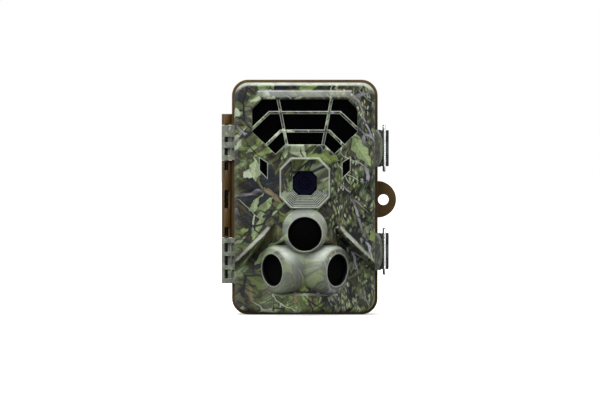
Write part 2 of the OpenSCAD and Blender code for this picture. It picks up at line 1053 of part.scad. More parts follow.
module lower_bail() {
    bail(latch_z[1]);
}

// Power leads between the halves, slack behind the hinge
module ribbon_cable() {
    color("black")
        block([-36.6, panel_y + 0.2, 104], [-35.6, 4, 114]);
}

rear_shell();
gasket();
hinge_pin();
latch_pins();
tripod_insert();
battery_tray();
tray_screws();
aa_cells_upper();
aa_cells_lower();
battery_springs();
contact_plates();
dc_jack();
port_cover();
front_shell();
led_window();
led_board();
ir_leds();
indicator_window();
light_sensor_window();
indicator_led();
light_sensor();
lens_window();
lens_barrel();
lens_element();
lens_holder();
ir_cut_filter();
image_sensor();
pir_lens_main();
pir_lens_left();
pir_lens_right();
pir_sensors();
pir_boards();
main_board();
key_board();
lcd_module();
lcd_window();
inner_panel();
panel_screws();
speaker();
microphone();
card_socket();
memory_card();
usb_socket();
key_up();
key_down();
key_left();
key_right();
key_ok();
key_menu();
power_switch();
upper_lever();
lower_lever();
upper_bail();
lower_bail();
ribbon_cable();
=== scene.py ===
"""A trail camera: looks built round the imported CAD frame. Lengths are in millimetres until a mesh is made."""

from math import cos, hypot, pi, radians, sin, tan

import bmesh
import bpy
import numpy as np
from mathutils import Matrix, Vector


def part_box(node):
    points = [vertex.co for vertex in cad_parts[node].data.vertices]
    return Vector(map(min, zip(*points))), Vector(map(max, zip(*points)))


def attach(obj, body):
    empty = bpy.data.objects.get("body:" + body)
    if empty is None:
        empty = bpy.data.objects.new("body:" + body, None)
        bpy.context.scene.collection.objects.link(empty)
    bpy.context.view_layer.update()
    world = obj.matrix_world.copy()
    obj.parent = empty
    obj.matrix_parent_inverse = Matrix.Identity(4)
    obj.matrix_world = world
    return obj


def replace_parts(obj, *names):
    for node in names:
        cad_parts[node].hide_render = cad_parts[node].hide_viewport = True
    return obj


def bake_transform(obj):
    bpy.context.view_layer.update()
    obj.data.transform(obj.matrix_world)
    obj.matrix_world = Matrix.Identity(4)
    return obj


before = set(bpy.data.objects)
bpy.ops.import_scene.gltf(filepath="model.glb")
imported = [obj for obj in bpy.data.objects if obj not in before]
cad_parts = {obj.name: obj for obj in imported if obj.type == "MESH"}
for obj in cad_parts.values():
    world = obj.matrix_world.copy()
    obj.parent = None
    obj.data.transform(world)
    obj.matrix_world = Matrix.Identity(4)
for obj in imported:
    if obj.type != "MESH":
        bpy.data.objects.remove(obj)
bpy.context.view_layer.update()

MM = 0.001
WELD = 0.01 * MM             # points closer than this are one
AXIS_X, AXIS_Y, AXIS_Z = Vector((1, 0, 0)), Vector((0, 1, 0)), Vector((0, 0, 1))


# ---- places taken from the CAD frame

def cad_box(node):
    """Lowest and highest corner of a CAD node, in millimetres."""
    low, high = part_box(node)
    return Vector(low) / MM, Vector(high) / MM


def cad_centre(node):
    low, high = cad_box(node)
    return (low + high) / 2


_, PANEL_HIGH = cad_box("inner_panel")
SHELL_LOW, SHELL_HIGH = cad_box("front_shell")
_, FAN_HIGH = cad_box("led_window")
LENS = cad_centre("lens_window")
PIR = cad_centre("pir_lens_main")
HINGE = cad_centre("hinge_pin")
LATCH_GAP = (cad_box("lower_lever")[1].z, cad_box("upper_lever")[0].z)      # between the two levers

FRONT_WALL = 2.3
HALF_W = PANEL_HIGH.x + FRONT_WALL + 0.15      # half the width of the front half
MID_Z = (SHELL_LOW.z + SHELL_HIGH.z) / 2
HALF_H = (SHELL_HIGH.z - SHELL_LOW.z) / 2
CORNER_R = 8.3
EDGE_R = 2.6
PARTING_Y = -13.1
FACE_Y = -47


# ---- mesh helpers

def make_object(name, part, material, smooth_angle=35):
    """A closed mesh object from (points, faces) in millimetres, with its faces turned outwards."""
    points, faces = part
    mesh = bpy.data.meshes.new(name)
    mesh.from_pydata([tuple(c * MM for c in p) for p in points], [], faces)
    mesh.validate()
    mesh.polygons.foreach_set("use_smooth", [True] * len(mesh.polygons))
    mesh.set_sharp_from_angle(angle=radians(smooth_angle))
    mesh.materials.append(material)
    obj = bpy.data.objects.new(name, mesh)
    bpy.context.scene.collection.objects.link(obj)
    work = bmesh.new()
    work.from_mesh(mesh)
    bmesh.ops.remove_doubles(work, verts=work.verts, dist=WELD)
    bmesh.ops.recalc_face_normals(work, faces=work.faces)
    work.to_mesh(mesh)
    work.free()
    return obj


def add_piece(name, part, material, body, smooth_angle=35):
    """A mesh piece that rides on a CAD body and takes the given material."""
    obj = make_object(name, part, material, smooth_angle)
    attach(obj, body)
    return obj


def add_bevel(obj, width, segments=2, angle=35):
    bevel = obj.modifiers.new("edge", "BEVEL")
    bevel.width = width * MM
    bevel.segments = segments
    bevel.limit_method = "ANGLE"
    bevel.angle_limit = radians(angle)
    bevel.harden_normals = True


def loft(loops, cap_ends=False):
    """Points and faces of a skin through closed loops that all have the same number of points."""
    count = len(loops[0])
    points = [p for loop in loops for p in loop]
    faces = []
    for row in range(len(loops) - 1):
        for i in range(count):
            j = (i + 1) % count
            a, b = row * count, (row + 1) * count
            faces.append((a + i, a + j, b + j, b + i))
    if cap_ends:
        faces.append(tuple(range(count - 1, -1, -1)))
        faces.append(tuple(range((len(loops) - 1) * count, len(loops) * count)))
    return points, faces


def ring(loops):
    """A closed ring: a skin through the loops that comes back to the first one."""
    points, faces = loft(loops)
    count = len(loops[0])
    last = (len(loops) - 1) * count
    faces += [(last + i, last + (i + 1) % count, (i + 1) % count, i) for i in range(count)]
    return points, faces


def turned_loops(profile, origin, out, across, up, count):
    """Circles about an axis: profile holds (radius, distance along the axis)."""
    angles = [2 * pi * i / count for i in range(count)]
    return [[tuple(origin + out * along + (across * cos(a) + up * sin(a)) * r) for a in angles]
            for r, along in profile]


def lathe(profile, origin, axis="z", count=48):
    """A solid turned about an upright or front-to-back axis."""
    out, up = (AXIS_Z, AXIS_Y) if axis == "z" else (AXIS_Y, AXIS_Z)
    profile = [(max(r, 0.001), along) for r, along in profile]
    return loft(turned_loops(profile, Vector(origin), out, AXIS_X, up, count), True)


def join_parts(parts):
    """One list of points and faces from several."""
    points, faces = [], []
    for part_points, part_faces in parts:
        shift = len(points)
        points += list(part_points)
        faces += [tuple(i + shift for i in face) for face in part_faces]
    return points, faces


def at_depth(outline, y):
    return [(x, y, z) for x, z in outline]


def prism_y(outline, y0, y1):
    """A front-view outline, extruded from y0 back to y1."""
    return loft([at_depth(outline, y) for y in (y0, y1)], True)


def prism_z(outline, z0, z1):
    """A plan-view outline, extruded from z0 up to z1."""
    return loft([[(x, y, z) for x, y in outline] for z in (z0, z1)], True)


def solid_box(low, high):
    """A closed block, for cutting."""
    x0, y0, z0 = low
    x1, y1, z1 = high
    return prism_z([(x0, y0), (x1, y0), (x1, y1), (x0, y1)], z0, z1)


def mirrored(part):
    """The same part on the other side of the middle plane."""
    points, faces = part
    return [(-x, y, z) for x, y, z in points], [tuple(reversed(f)) for f in faces]


def both_sides(part):
    return join_parts([part, mirrored(part)])


def offset_outline(outline, grow):
    """An anticlockwise outline moved outwards by grow, with mitred corners."""
    result = []
    count = len(outline)
    for i in range(count):
        here = Vector(outline[i])
        d0 = (here - Vector(outline[i - 1])).normalized()
        d1 = (Vector(outline[(i + 1) % count]) - here).normalized()
        n0 = Vector((d0.y, -d0.x))
        n1 = Vector((d1.y, -d1.x))
        result.append(tuple(here + (n0 + n1) / (1 + n0.dot(n1)) * grow))
    return result


def frame_ring(outline, profile):
    """A raised frame round an outline: profile holds (distance outwards, depth)."""
    return ring([at_depth(offset_outline(outline, grow), y) for grow, y in profile])


def circle(cx, cz, r, count=72):
    return [(cx + r * cos(2 * pi * i / count), cz + r * sin(2 * pi * i / count))
            for i in range(count)]


def cut_away(obj, part):
    """Cuts a closed shape out of a piece."""
    cutter = make_object("cutter", part, obj.data.materials[0])
    boolean = obj.modifiers.new("cut", "BOOLEAN")
    boolean.operation = "DIFFERENCE"
    boolean.solver = "EXACT"
    boolean.object = cutter
    bpy.context.view_layer.update()
    graph = bpy.context.evaluated_depsgraph_get()
    cut = bpy.data.meshes.new_from_object(obj.evaluated_get(graph))
    obj.modifiers.remove(boolean)
    obj.data = cut
    bpy.data.objects.remove(cutter)


def give_slot(obj, material, wanted):
    """Gives a second material to the faces that the rule picks, by their centre and normal."""
    obj.data.materials.append(material)
    index = len(obj.data.materials) - 1
    for polygon in obj.data.polygons:
        if wanted(polygon.center / MM, polygon.normal):
            polygon.material_index = index


# ---- material helpers

def srgb(r, g, b):
    """A colour as Blender wants it, from 0 to 255 screen values."""
    def linear(c):
        c /= 255
        return c / 12.92 if c <= 0.04045 else ((c + 0.055) / 1.055) ** 2.4
    return (linear(r), linear(g), linear(b), 1)


def scaled(colour, factor):
    return tuple(c * factor for c in colour[:3]) + (1,)


class Graph:
    """Short words for wiring a node tree."""

    def __init__(self, tree, material=None):
        self.tree = tree
        self.material = material

    def set(self, socket, value):
        if isinstance(value, bpy.types.NodeSocket):
            self.tree.links.new(value, socket)
        elif value is not None:
            socket.default_value = value

    def node(self, kind, settings=None, values=(), **inputs):
        """A node with its inputs given in order, by name, or both."""
        made = self.tree.nodes.new(kind)
        for key, value in (settings or {}).items():
            setattr(made, key, value)
        for socket, value in zip(made.inputs, values):
            self.set(socket, value)
        for key, value in inputs.items():
            self.set(made.inputs[key.replace("_", " ")], value)
        return made

    def math(self, operation, *values):
        return self.node("ShaderNodeMath", {"operation": operation}, values).outputs[0]

    def add(self, a, b):
        return self.math("ADD", a, b)

    def sub(self, a, b):
        return self.math("SUBTRACT", a, b)

    def mul(self, a, b):
        return self.math("MULTIPLY", a, b)

    def vector(self, operation, a, b=None):
        made = self.node("ShaderNodeVectorMath", {"operation": operation}, (a, b))
        return made.outputs["Value" if operation in ("LENGTH", "DOT_PRODUCT") else 0]

    def scale(self, vector, factor):
        return self.node("ShaderNodeVectorMath", {"operation": "SCALE"}, (vector,), Scale=factor).outputs[0]

    def combine(self, x, y, z=0):
        return self.node("ShaderNodeCombineXYZ", None, (x, y, z)).outputs[0]

    def split(self, vector):
        return self.node("ShaderNodeSeparateXYZ", None, (vector,)).outputs

    def turn(self, vector, angle):
        made = self.node("ShaderNodeVectorRotate", {"rotation_type": "Z_AXIS"}, Vector=vector, Angle=angle)
        return made.outputs[0]

    def noise(self, vector, scale, detail=3, roughness=0.55, colour=False):
        made = self.node("ShaderNodeTexNoise", Vector=vector, Scale=scale, Detail=detail, Roughness=roughness)
        return made.outputs[1 if colour else 0]

    def warp(self, vector, scale, detail, reach):
        """A place pushed about by noise."""
        return self.vector("ADD", vector, self.scale(self.noise(vector, scale, detail, colour=True), reach))

    def voronoi(self, vector, scale, feature="F1", randomness=1):
        return self.node("ShaderNodeTexVoronoi", {"feature": feature, "voronoi_dimensions": "2D"},
                         Vector=vector, Scale=scale, Randomness=randomness).outputs

    def step(self, value, low, high, to_low=0, to_high=1):
        """Goes smoothly from to_low at low to to_high at high."""
        return self.node("ShaderNodeMapRange", {"interpolation_type": "SMOOTHSTEP"},
                         (value, low, high, to_low, to_high)).outputs[0]

    def mix(self, factor, a, b, mode="MIX"):
        made = self.node("ShaderNodeMix", {"data_type": "RGBA", "blend_type": mode}, (factor,))
        # inputs 6 and 7 and output 2 are the colour ones
        self.set(made.inputs[6], a)
        self.set(made.inputs[7], b)
        return made.outputs[2]

    def tint(self, tone, factor):
        """A colour made lighter or darker by a factor."""
        return self.mix(1, tone, self.combine(factor, factor, factor), "MULTIPLY")

    def ramp(self, factor, stops):
        made = self.tree.nodes.new("ShaderNodeValToRGB")
        elements = made.color_ramp.elements
        while len(elements) < len(stops):
            elements.new(0.5)
        for element, (place, colour) in zip(elements, stops):
            element.position = place
            element.color = colour
        self.set(made.inputs[0], factor)
        return made.outputs[0]

    def rounded(self, radius, samples=4):
        """A normal that rounds edges by a radius in millimetres."""
        return self.node("ShaderNodeBevel", {"samples": samples}, Radius=radius * MM).outputs[0]

    def bump(self, height, depth, strength, normal=None):
        """A normal from a height; depth is in millimetres."""
        return self.node("ShaderNodeBump", Height=height, Distance=depth * MM, Strength=strength,
                         Normal=normal).outputs[0]


def new_material(name):
    """The graph of a new material and its object coordinates in millimetres."""
    material = bpy.data.materials.new(name)
    material.use_nodes = True
    g = Graph(material.node_tree, material)
    return g, g.scale(g.node("ShaderNodeTexCoord").outputs["Object"], 1 / MM)


def shade(g, **values):
    """Sets the surface's inputs and gives the material."""
    for key, value in values.items():
        g.set(g.tree.nodes["Principled BSDF"].inputs[key.replace("_", " ")], value)
    return g.material


def moulded_plastic(name, colour, dark, light, roughness=0.5, grain=1.6, depth=0.03, edge=0.35):
    """Moulded plastic: fine spark-eroded grain, faint blotches and rounded edges that catch the light."""
    g, place = new_material(name)
    blotch = g.ramp(g.noise(place, 0.05, 4), [(0.3, dark), (0.52, colour), (0.75, light)])
    fine = g.noise(place, grain, 3, 0.7)
    return shade(g, Base_Color=g.tint(blotch, g.step(fine, 0.35, 0.75, 0.88, 1.08)),
                 Roughness=g.step(fine, 0.2, 0.8, roughness - 0.06, roughness + 0.1), Specular_IOR_Level=0.4,
                 Normal=g.bump(fine, depth, 0.6, g.rounded(edge)))


def metal(name, colour, roughness=0.3, edge=0.1, wear=0.5):
    """Bare metal with fine handling marks."""
    g, place = new_material(name)
    marks = g.noise(place, 0.9, 5, 0.6)
    return shade(g, Base_Color=g.mix(g.step(marks, 0.3, 0.8), colour, scaled(colour, 0.78)), Metallic=1,
                 Roughness=g.step(marks, 0.3, 0.75, roughness * 0.7, roughness * 1.3),
                 Normal=g.bump(marks, 0.01, wear, g.rounded(edge)))


def glossy_black(name, colour, roughness=0.08, shine=0.35):
    """Polished dark acrylic with faint wiping marks."""
    g, place = new_material(name)
    marks = g.noise(place, 0.12, 5, 0.65)
    return shade(g, Base_Color=g.mix(g.step(marks, 0.4, 0.8), colour, scaled(colour, 1.8)),
                 Roughness=g.step(marks, 0.35, 0.8, roughness, roughness + 0.12), Specular_IOR_Level=shine,
                 Normal=g.bump(marks, 0.02, 0.3))


def fresnel_black(name, centre, axis, pitch=0.75):
    """Black moulded lens with fine concentric grooves round its own axis."""
    g, place = new_material(name)
    local = g.vector("SUBTRACT", place, tuple(centre))
    along = g.scale(tuple(axis), g.vector("DOT_PRODUCT", local, tuple(axis)))
    radius = g.vector("LENGTH", g.vector("SUBTRACT", local, along))
    groove = g.math("FRACT", g.math("DIVIDE", radius, pitch))
    tone = g.mix(g.step(groove, 0.6, 1), (0.0008, 0.0008, 0.001, 1), (0.0025, 0.0025, 0.003, 1))
    return shade(g, Base_Color=tone, Roughness=0.5, Specular_IOR_Level=0.015,
                 Normal=g.bump(groove, 0.05, 0.35))


def lens_stack(name, roughness, shine):
    """Coated glass and its mount: faint navy rings round a greenish middle, as in a stack of lenses."""
    g, place = new_material(name)
    x, _, z = g.split(g.vector("SUBTRACT", place, tuple(LENS)))
    radius = g.vector("LENGTH", g.combine(x, z))
    deep, mid, line = (0.0016, 0.0018, 0.007, 1), (0.006, 0.006, 0.026, 1), (0.022, 0.024, 0.075, 1)
    green = (0.002, 0.012, 0.008, 1)
    stops = [(0, green), (0.08, green), (0.12, line), (0.17, deep), (0.31, deep), (0.35, line),
             (0.40, deep), (0.56, deep), (0.61, line), (0.66, mid), (0.80, mid), (0.85, line), (0.90, mid)]
    marks = g.noise(place, 0.4, 3, 0.6)
    return shade(g, Base_Color=g.ramp(g.math("DIVIDE", radius, 7), stops), Specular_IOR_Level=shine,
                 Roughness=g.step(marks, 0.35, 0.8, roughness, roughness + 0.08),
                 Normal=g.bump(marks, 0.01, 0.3))


def tinted_window(name, tint, clear):
    """A dark window that lets some light through."""
    g, place = new_material(name)
    marks = g.noise(place, 0.2, 4, 0.6)
    return shade(g, Base_Color=tint, Roughness=g.step(marks, 0.4, 0.8, 0.03, 0.1), Alpha=clear,
                 Specular_IOR_Level=0.4)


def rubber(name, colour, light):
    """Soft moulded rubber: dull, with a powdery bloom."""
    g, place = new_material(name)
    bloom = g.noise(place, 0.25, 5, 0.65)
    fine = g.noise(place, 3, 2, 0.6)
    return shade(g, Base_Color=g.mix(g.step(bloom, 0.35, 0.8), colour, light), Specular_IOR_Level=0.25,
                 Roughness=g.step(fine, 0.3, 0.7, 0.68, 0.85), Normal=g.bump(fine, 0.02, 0.5, g.rounded(0.2)))


def circuit_board(name, mask, bare):
    """Solder-masked board with tracks and rows of pads."""
    g, place = new_material(name)
    x, _, z = g.split(place)
    flat = g.combine(x, z)
    track = g.step(g.voronoi(flat, 0.35, "DISTANCE_TO_EDGE")["Distance"], 0.06, 0.03)
    pads = g.step(g.voronoi(flat, 0.8, randomness=0.15)["Distance"], 0.24, 0.2)
    pads = g.mul(pads, g.step(g.noise(flat, 0.12, 2), 0.55, 0.6))
    tone = g.mix(g.mul(track, 0.35), mask, bare)
    return shade(g, Base_Color=g.mix(pads, tone, srgb(205, 190, 140)), Metallic=pads, Roughness=0.4,
                 Normal=g.bump(track, 0.03, 0.5))


def threaded_metal(name, colour, pitch=1.27):
    """Turned metal with a screw thread inside and fine knurling."""
    g, place = new_material(name)
    x, y, z = g.split(place)
    turn = g.math("DIVIDE", g.math("ARCTAN2", y, x), 2 * pi)
    thread = g.math("PINGPONG", g.add(g.math("DIVIDE", z, pitch), turn), 0.5)
    marks = g.noise(place, 1.5, 3)
    return shade(g, Base_Color=g.mix(g.step(marks, 0.3, 0.8), colour, scaled(colour, 0.7)), Metallic=1,
                 Roughness=g.step(marks, 0.3, 0.8, 0.2, 0.38), Normal=g.bump(thread, 0.5, 0.8))


# ---- camouflage print

SLATE = srgb(42, 49, 54)
NAVY = srgb(24, 28, 38)
SOOT = srgb(12, 14, 18)
UMBER = srgb(72, 64, 50)
OLIVE = srgb(88, 96, 62)
MOSS = srgb(122, 137, 78)
SAGE = srgb(138, 154, 112)
PALE = srgb(178, 188, 164)
LILAC = srgb(160, 157, 166)
TAN = srgb(128, 117, 88)
# pale colour that paints highlights: on faces that look up, on edges, and in the paler copies of the print
HIGHLIGHT_PALE = srgb(190, 198, 186)
GREEN_LEAVES = [(0.15, OLIVE), (0.45, MOSS), (0.75, SAGE), (0.98, PALE)]
DULL_LEAVES = [(0.15, SLATE), (0.4, UMBER), (0.65, OLIVE), (0.9, TAN)]


def leaf_layer():
    """Node group: one scatter of leaves, with its shade, its shadow and a random value for each leaf."""
    tree = bpy.data.node_groups.new("leaf_layer", "ShaderNodeTree")
    tree.interface.new_socket("Place", in_out="INPUT", socket_type="NodeSocketVector")
    for name in ("Cell", "Length", "Width", "Turn", "Share"):
        tree.interface.new_socket(name, in_out="INPUT", socket_type="NodeSocketFloat")
    for name in ("Mask", "Shade", "Random", "Shadow"):
        tree.interface.new_socket(name, in_out="OUTPUT", socket_type="NodeSocketFloat")
    g = Graph(tree)
    given = g.node("NodeGroupInput").outputs
    wobble = g.noise(given["Place"], 0.22, 3, colour=True)
    bent = g.vector("ADD", given["Place"], g.scale(g.vector("SUBTRACT", wobble, (0.5, 0.5, 0.5)), 2.6))
    cells = g.voronoi(bent, g.math("DIVIDE", 1, given["Cell"]))
    random = g.split(cells["Color"])
    turn = g.add(given["Turn"], g.mul(random[0], 6.283))
    x, y, _ = g.split(g.turn(g.vector("SUBTRACT", bent, cells["Position"]), turn))
    size = g.add(0.72, g.mul(random[1], 0.5))
    along = g.math("DIVIDE", x, g.mul(given["Length"], size))
    across = g.math("DIVIDE", g.math("ABSOLUTE", y), g.mul(given["Width"], size))
    side = g.math("SIGN", y)
    belly = g.sub(1, g.mul(along, along))
    lobes = g.mul(g.math("SINE", g.add(g.mul(along, 11), g.mul(side, 0.8))), 0.16)
    edge = g.mul(belly, g.add(g.sub(0.86, g.mul(along, 0.3)), lobes))
    inside = g.sub(edge, across)
    present = g.math("LESS_THAN", random[2], given["Share"])
    rib = g.step(across, 0, 0.09, 0.42, 0)
    vein = g.step(g.math("SINE", g.add(g.mul(along, 26), g.mul(across, -9))), 0.72, 1, 0, 0.22)
    half = g.mul(side, 0.13)
    rim = g.step(inside, 0, 0.22, -0.34, 0)
    g.node("NodeGroupOutput", Mask=g.mul(g.step(inside, 0, 0.07), present),
           Shade=g.add(g.add(rib, vein), g.add(half, rim)), Random=random[1],
           Shadow=g.mul(g.step(inside, -0.5, 0.05), present))
    return tree


LEAVES = leaf_layer()


def print_place(g, place):
    """Flattens the print along a slant, as dipping does, so that it also covers the sides without a seam."""
    x, y, z = g.split(place)
    depth = g.sub(y, FACE_Y)
    return g.combine(g.add(x, g.mul(depth, 0.85)), g.add(z, g.mul(depth, 0.62)))


def bark(g, flat):
    """Upright bark: small tall flecks, lit and dull, over dark furrows. Gives its colour."""
    u, v, _ = g.split(flat)
    sway = g.mul(g.noise(flat, 0.05, 3), 12)
    upright = g.warp(g.combine(g.add(u, sway), g.mul(v, 0.42)), 0.55, 3, 1.8)
    cells = g.voronoi(upright, 0.66)
    fleck = g.step(cells["Distance"], 0.52, 0.16)
    kind = g.split(cells["Color"])[0]
    tone = g.ramp(kind, [(0.05, SLATE), (0.32, OLIVE), (0.55, MOSS), (0.75, SAGE), (0.95, PALE)])
    furrow = g.mix(g.step(g.noise(flat, 0.11, 3), 0.4, 0.7), SOOT, UMBER)
    broad = g.step(g.noise(flat, 0.07, 4, 0.6), 0.34, 0.66, 0.55, 1.5)
    return g.tint(g.mix(fleck, furrow, tone), broad)


def streaks(g, flat, turn, fine=1.1):
    """Long thin strokes, like dry grass; gives how light each place is."""
    turned = g.turn(flat, g.add(turn, g.mul(g.noise(flat, 0.05, 2), 1.6)))
    return g.noise(g.vector("MULTIPLY", turned, (1, 0.12, 1)), fine, 4, 0.7)


def ground(g, flat):
    """Dim forest floor behind the leaves, with strokes of grass across it. Gives its colour."""
    broad = g.noise(g.warp(flat, 0.06, 3, 16), 0.06, 5, 0.6)
    stops = [(0.34, NAVY), (0.45, SLATE), (0.51, UMBER), (0.57, OLIVE), (0.66, SAGE), (0.82, PALE)]
    tone = g.ramp(broad, stops)
    for turn, low, high in ((0.4, 0.45, 1.55), (-0.7, 0.62, 1.35)):
        tone = g.tint(tone, g.step(streaks(g, flat, turn), 0.34, 0.66, low, high))
    return tone


def leaves(g, under, flat, shift, sizes, share, tones, region=None, lean=None):
    """Lays a scatter of leaves and its shadow over the colour under it; a lean draws them out into blades."""
    moved = g.vector("ADD", flat, shift)
    if lean is not None:
        moved = g.vector("MULTIPLY", g.turn(moved, lean), (0.34, 1, 1))
    layer = g.tree.nodes.new("ShaderNodeGroup")
    layer.node_tree = LEAVES
    for socket, value in zip(layer.inputs, (moved, *sizes, shift[0], share)):
        g.set(socket, value)
    mask, shadow = layer.outputs["Mask"], layer.outputs["Shadow"]
    if region is not None:
        mask = g.mul(mask, region)
        shadow = g.mul(shadow, region)
    under = g.mix(g.mul(shadow, 0.5), under, NAVY)
    mottle = g.mul(g.add(g.noise(moved, 0.55, 4, 0.65), streaks(g, moved, 1.3, 0.8)), 0.5)
    lift = g.add(g.add(0.42, layer.outputs["Shade"]), g.mul(mottle, 1.15))
    return g.mix(mask, under, g.tint(g.ramp(layer.outputs["Random"], tones), lift))


def twigs(g, under, flat, shift, scale, width, tone, share):
    """Thin branches: the borders of big stretched cells, kept in patches."""
    moved = g.vector("ADD", flat, shift)
    stretched = g.vector("MULTIPLY", g.turn(g.warp(moved, 0.12, 2, 4), 0.8), (0.4, 1, 1))
    border = g.voronoi(stretched, scale, "DISTANCE_TO_EDGE")["Distance"]
    patch = g.step(g.noise(moved, 0.035, 2), 1 - share - 0.06, 1 - share + 0.06)
    line = g.mul(g.step(border, width, width * 0.55), patch)
    dark = g.mul(g.step(border, width * 2.2, width), patch)
    under = g.mix(g.mul(dark, 0.7), under, NAVY)
    return g.mix(line, under, g.tint(tone, g.step(g.noise(moved, 1.2, 3), 0.3, 0.7, 0.7, 1.15)))


def camo_print(g, place, shift=(0, 0, 0)):
    """The whole print: floor, bark on the right, two scatters of blades, two of leaves and three of twigs."""
    flat = g.vector("ADD", print_place(g, place), shift)
    u, _, _ = g.split(flat)
    ragged = g.mul(g.sub(g.noise(flat, 0.04, 3), 0.5), 60)
    bark_side = g.step(g.add(u, ragged), 4, 16)
    tone = g.mix(bark_side, ground(g, flat), bark(g, flat))
    open_side = g.sub(1, g.mul(bark_side, 0.75))
    tone = leaves(g, tone, flat, (3.1, 17, 0), (4.2, 3.6, 1.3), 0.66, DULL_LEAVES, open_side, 0.9)
    tone = leaves(g, tone, flat, (63, 29, 0), (5, 4.4, 1.2), 0.5, GREEN_LEAVES, open_side, -0.75)
    tone = twigs(g, tone, flat, (11, 5, 0), 0.05, 0.03, LILAC, 0.46)
    tone = leaves(g, tone, flat, (41.7, 9, 0), (12, 8, 3.2), 0.42, GREEN_LEAVES, open_side)
    tone = twigs(g, tone, flat, (71, 33, 0), 0.08, 0.024, PALE, 0.40)
    tone = leaves(g, tone, flat, (87.2, 53, 0), (19, 10.5, 4.2), 0.30, GREEN_LEAVES)
    tone = twigs(g, tone, flat, (23, 81, 0), 0.13, 0.03, NAVY, 0.5)
    tone = g.tint(tone, g.step(u, -46, -22, 0.8, 1))
    return g.node("ShaderNodeGamma", Color=tone, Gamma=1.12).outputs[0]


def camo_plastic(name, shift=(0, 0, 0), darken=1, edge=0.35, top_highlight=0, wash=0):
    """Printed satin plastic: a painted highlight makes it paler where the shell turns up, and a wash makes it
    paler all over.
    """
    g, place = new_material(name)
    tone = camo_print(g, place, shift)
    if darken != 1:
        tone = g.mix(1, tone, (darken, darken, darken, 1), "MULTIPLY")
    if wash:
        tone = g.mix(wash, tone, HIGHLIGHT_PALE)
    # Painted highlight: the print turns pale on faces that look up and forwards, as under an overhead light.
    if top_highlight:
        _, backward, upward = g.split(g.node("ShaderNodeTexCoord").outputs["Normal"])
        patchy = g.step(g.noise(place, 0.16, 4, 0.6), 0.3, 0.6, 0.65, 1)
        highlight_mask = g.mul(g.step(upward, 0.1, 0.6, 0, top_highlight), g.step(upward, 0.9, 1, 1, 0.3))
        highlight_mask = g.mul(highlight_mask, g.step(backward, -0.3, -0.02, 1, 0.3))
        tone = g.mix(g.mul(highlight_mask, patchy), tone, HIGHLIGHT_PALE)
    fine = g.noise(place, 1.8, 3, 0.7)
    return shade(g, Base_Color=tone, Roughness=g.step(fine, 0.2, 0.8, 0.40, 0.52), Specular_IOR_Level=0.38,
                 Normal=g.bump(fine, 0.02, 0.5, g.rounded(edge, 6)))


# ---- front half: face

FAN_TOP = FAN_HIGH.z + 0.1
FAN_BOTTOM = 97.9
FAN_SIDE = [(16.8, 92.5), (30.1, 105.2), (30.1, 118), (24.3, 123.7)]
WING = [(21.6, 79), (25.7, 83.3), (25.7, 90), (21.6, 87.3)]
SIDE_ZONE = [(70, 92), (38.5, 76.8), (25.2, 68.6), (20, 55.6), (20, 50.8), (22.8, 47.4), (37.8, 32.4),
             (70, 14)]
LOW_ZONE = [(-1, 41.3), (17.2, 41.3), (17.2, 50.1), (20.8, 45.6), (35.9, 30.5), (70, 6), (70, -20),
            (-1, -20)]
RIB_SINK = 2.4               # how far the slanting ribs fall back towards the case's sides
SIDE_SINK = 2.6              # depth of the side zones at their inner edge
FLOOR_RISE = 2.6             # how much the low zone's floor rises beside the main sensor
CHIN_W, CHIN_TOP, CHIN_Y = 18.6, 11.9, -43.5
GROOVE_W, GROOVE_Z = 27, 129.4
SKIN = 1.9                   # thickness of the face, from front to back
RIM_BEVEL = 0.35
SIDE_TURN = radians(51)
SIDE_DIP = radians(5)
SIDE_MOUTH = Vector((18.7, -42.3, 26))


def outline_distance(x, z, outline):
    """Signed distance of many points to an outline, negative inside."""
    best = np.full(x.shape, 1e9)
    inside = np.zeros(x.shape, bool)
    for (x0, z0), (x1, z1) in zip(outline, outline[1:] + outline[:1]):
        dx, dz = x1 - x0, z1 - z0
        t = np.clip(((x - x0) * dx + (z - z0) * dz) / (dx * dx + dz * dz), 0, 1)
        best = np.minimum(best, np.hypot(x - x0 - t * dx, z - z0 - t * dz))
        if z0 != z1:
            inside ^= ((z0 > z) != (z1 > z)) & (x < (x1 - x0) * (z - z0) / (z1 - z0) + x0)
    return np.where(inside, -best, best)


def soft_step(t):
    t = np.clip(t, 0, 1)
    return t * t * (3 - 2 * t)


def chamfer_step(distance, width):
    """0 outside an outline and 1 inside it, with a straight slope whose ends are eased."""
    t = np.clip(0.5 - distance / width, 0, 1)
    return 0.75 * t + 0.25 * soft_step(t)


def face_depth(x, z):
    """How far forward the printed face stands at each front-view point."""
    side = np.abs(x)
    worn_rib = RIB_SINK * soft_step((side - 25) / 14) * soft_step((62 - z) / 10)
    y = FACE_Y + worn_rib
    slope = 0.06 * np.clip(side - 20, 0, 30)
    y += chamfer_step(outline_distance(side, z, SIDE_ZONE), 2.8) * (SIDE_SINK + slope - worn_rib)
    floor = np.interp(side, [0, 17.2, 24.4, 50], [-40, -39, -34.4, -28.2])
    floor -= FLOOR_RISE * soft_step((z - 40) / 8)
    y += chamfer_step(outline_distance(side, z, LOW_ZONE), 3.8) * (floor - y)
    groove = np.maximum(side - GROOVE_W, np.abs(z - GROOVE_Z) - 1.1)
    y += chamfer_step(groove, 0.8) * 0.9
    chin = np.maximum(side - CHIN_W, z - CHIN_TOP)
    return y + chamfer_step(chin, 0.7) * np.minimum(CHIN_Y - y, 0)


def graded_lines(half, step):
    """Grid lines across the face, close together where its edge is rounded."""
    bend = [EDGE_R * (1 - cos(radians(a))) for a in (0, 18, 34, 48, 60, 70, 80, 90)]
    inner = half - EDGE_R
    count = int(round(2 * inner / step))
    middle = [-inner + 2 * inner * i / count for i in range(1, count)]
    return np.array([-half + d for d in bend] + middle + [half - d for d in reversed(bend)])


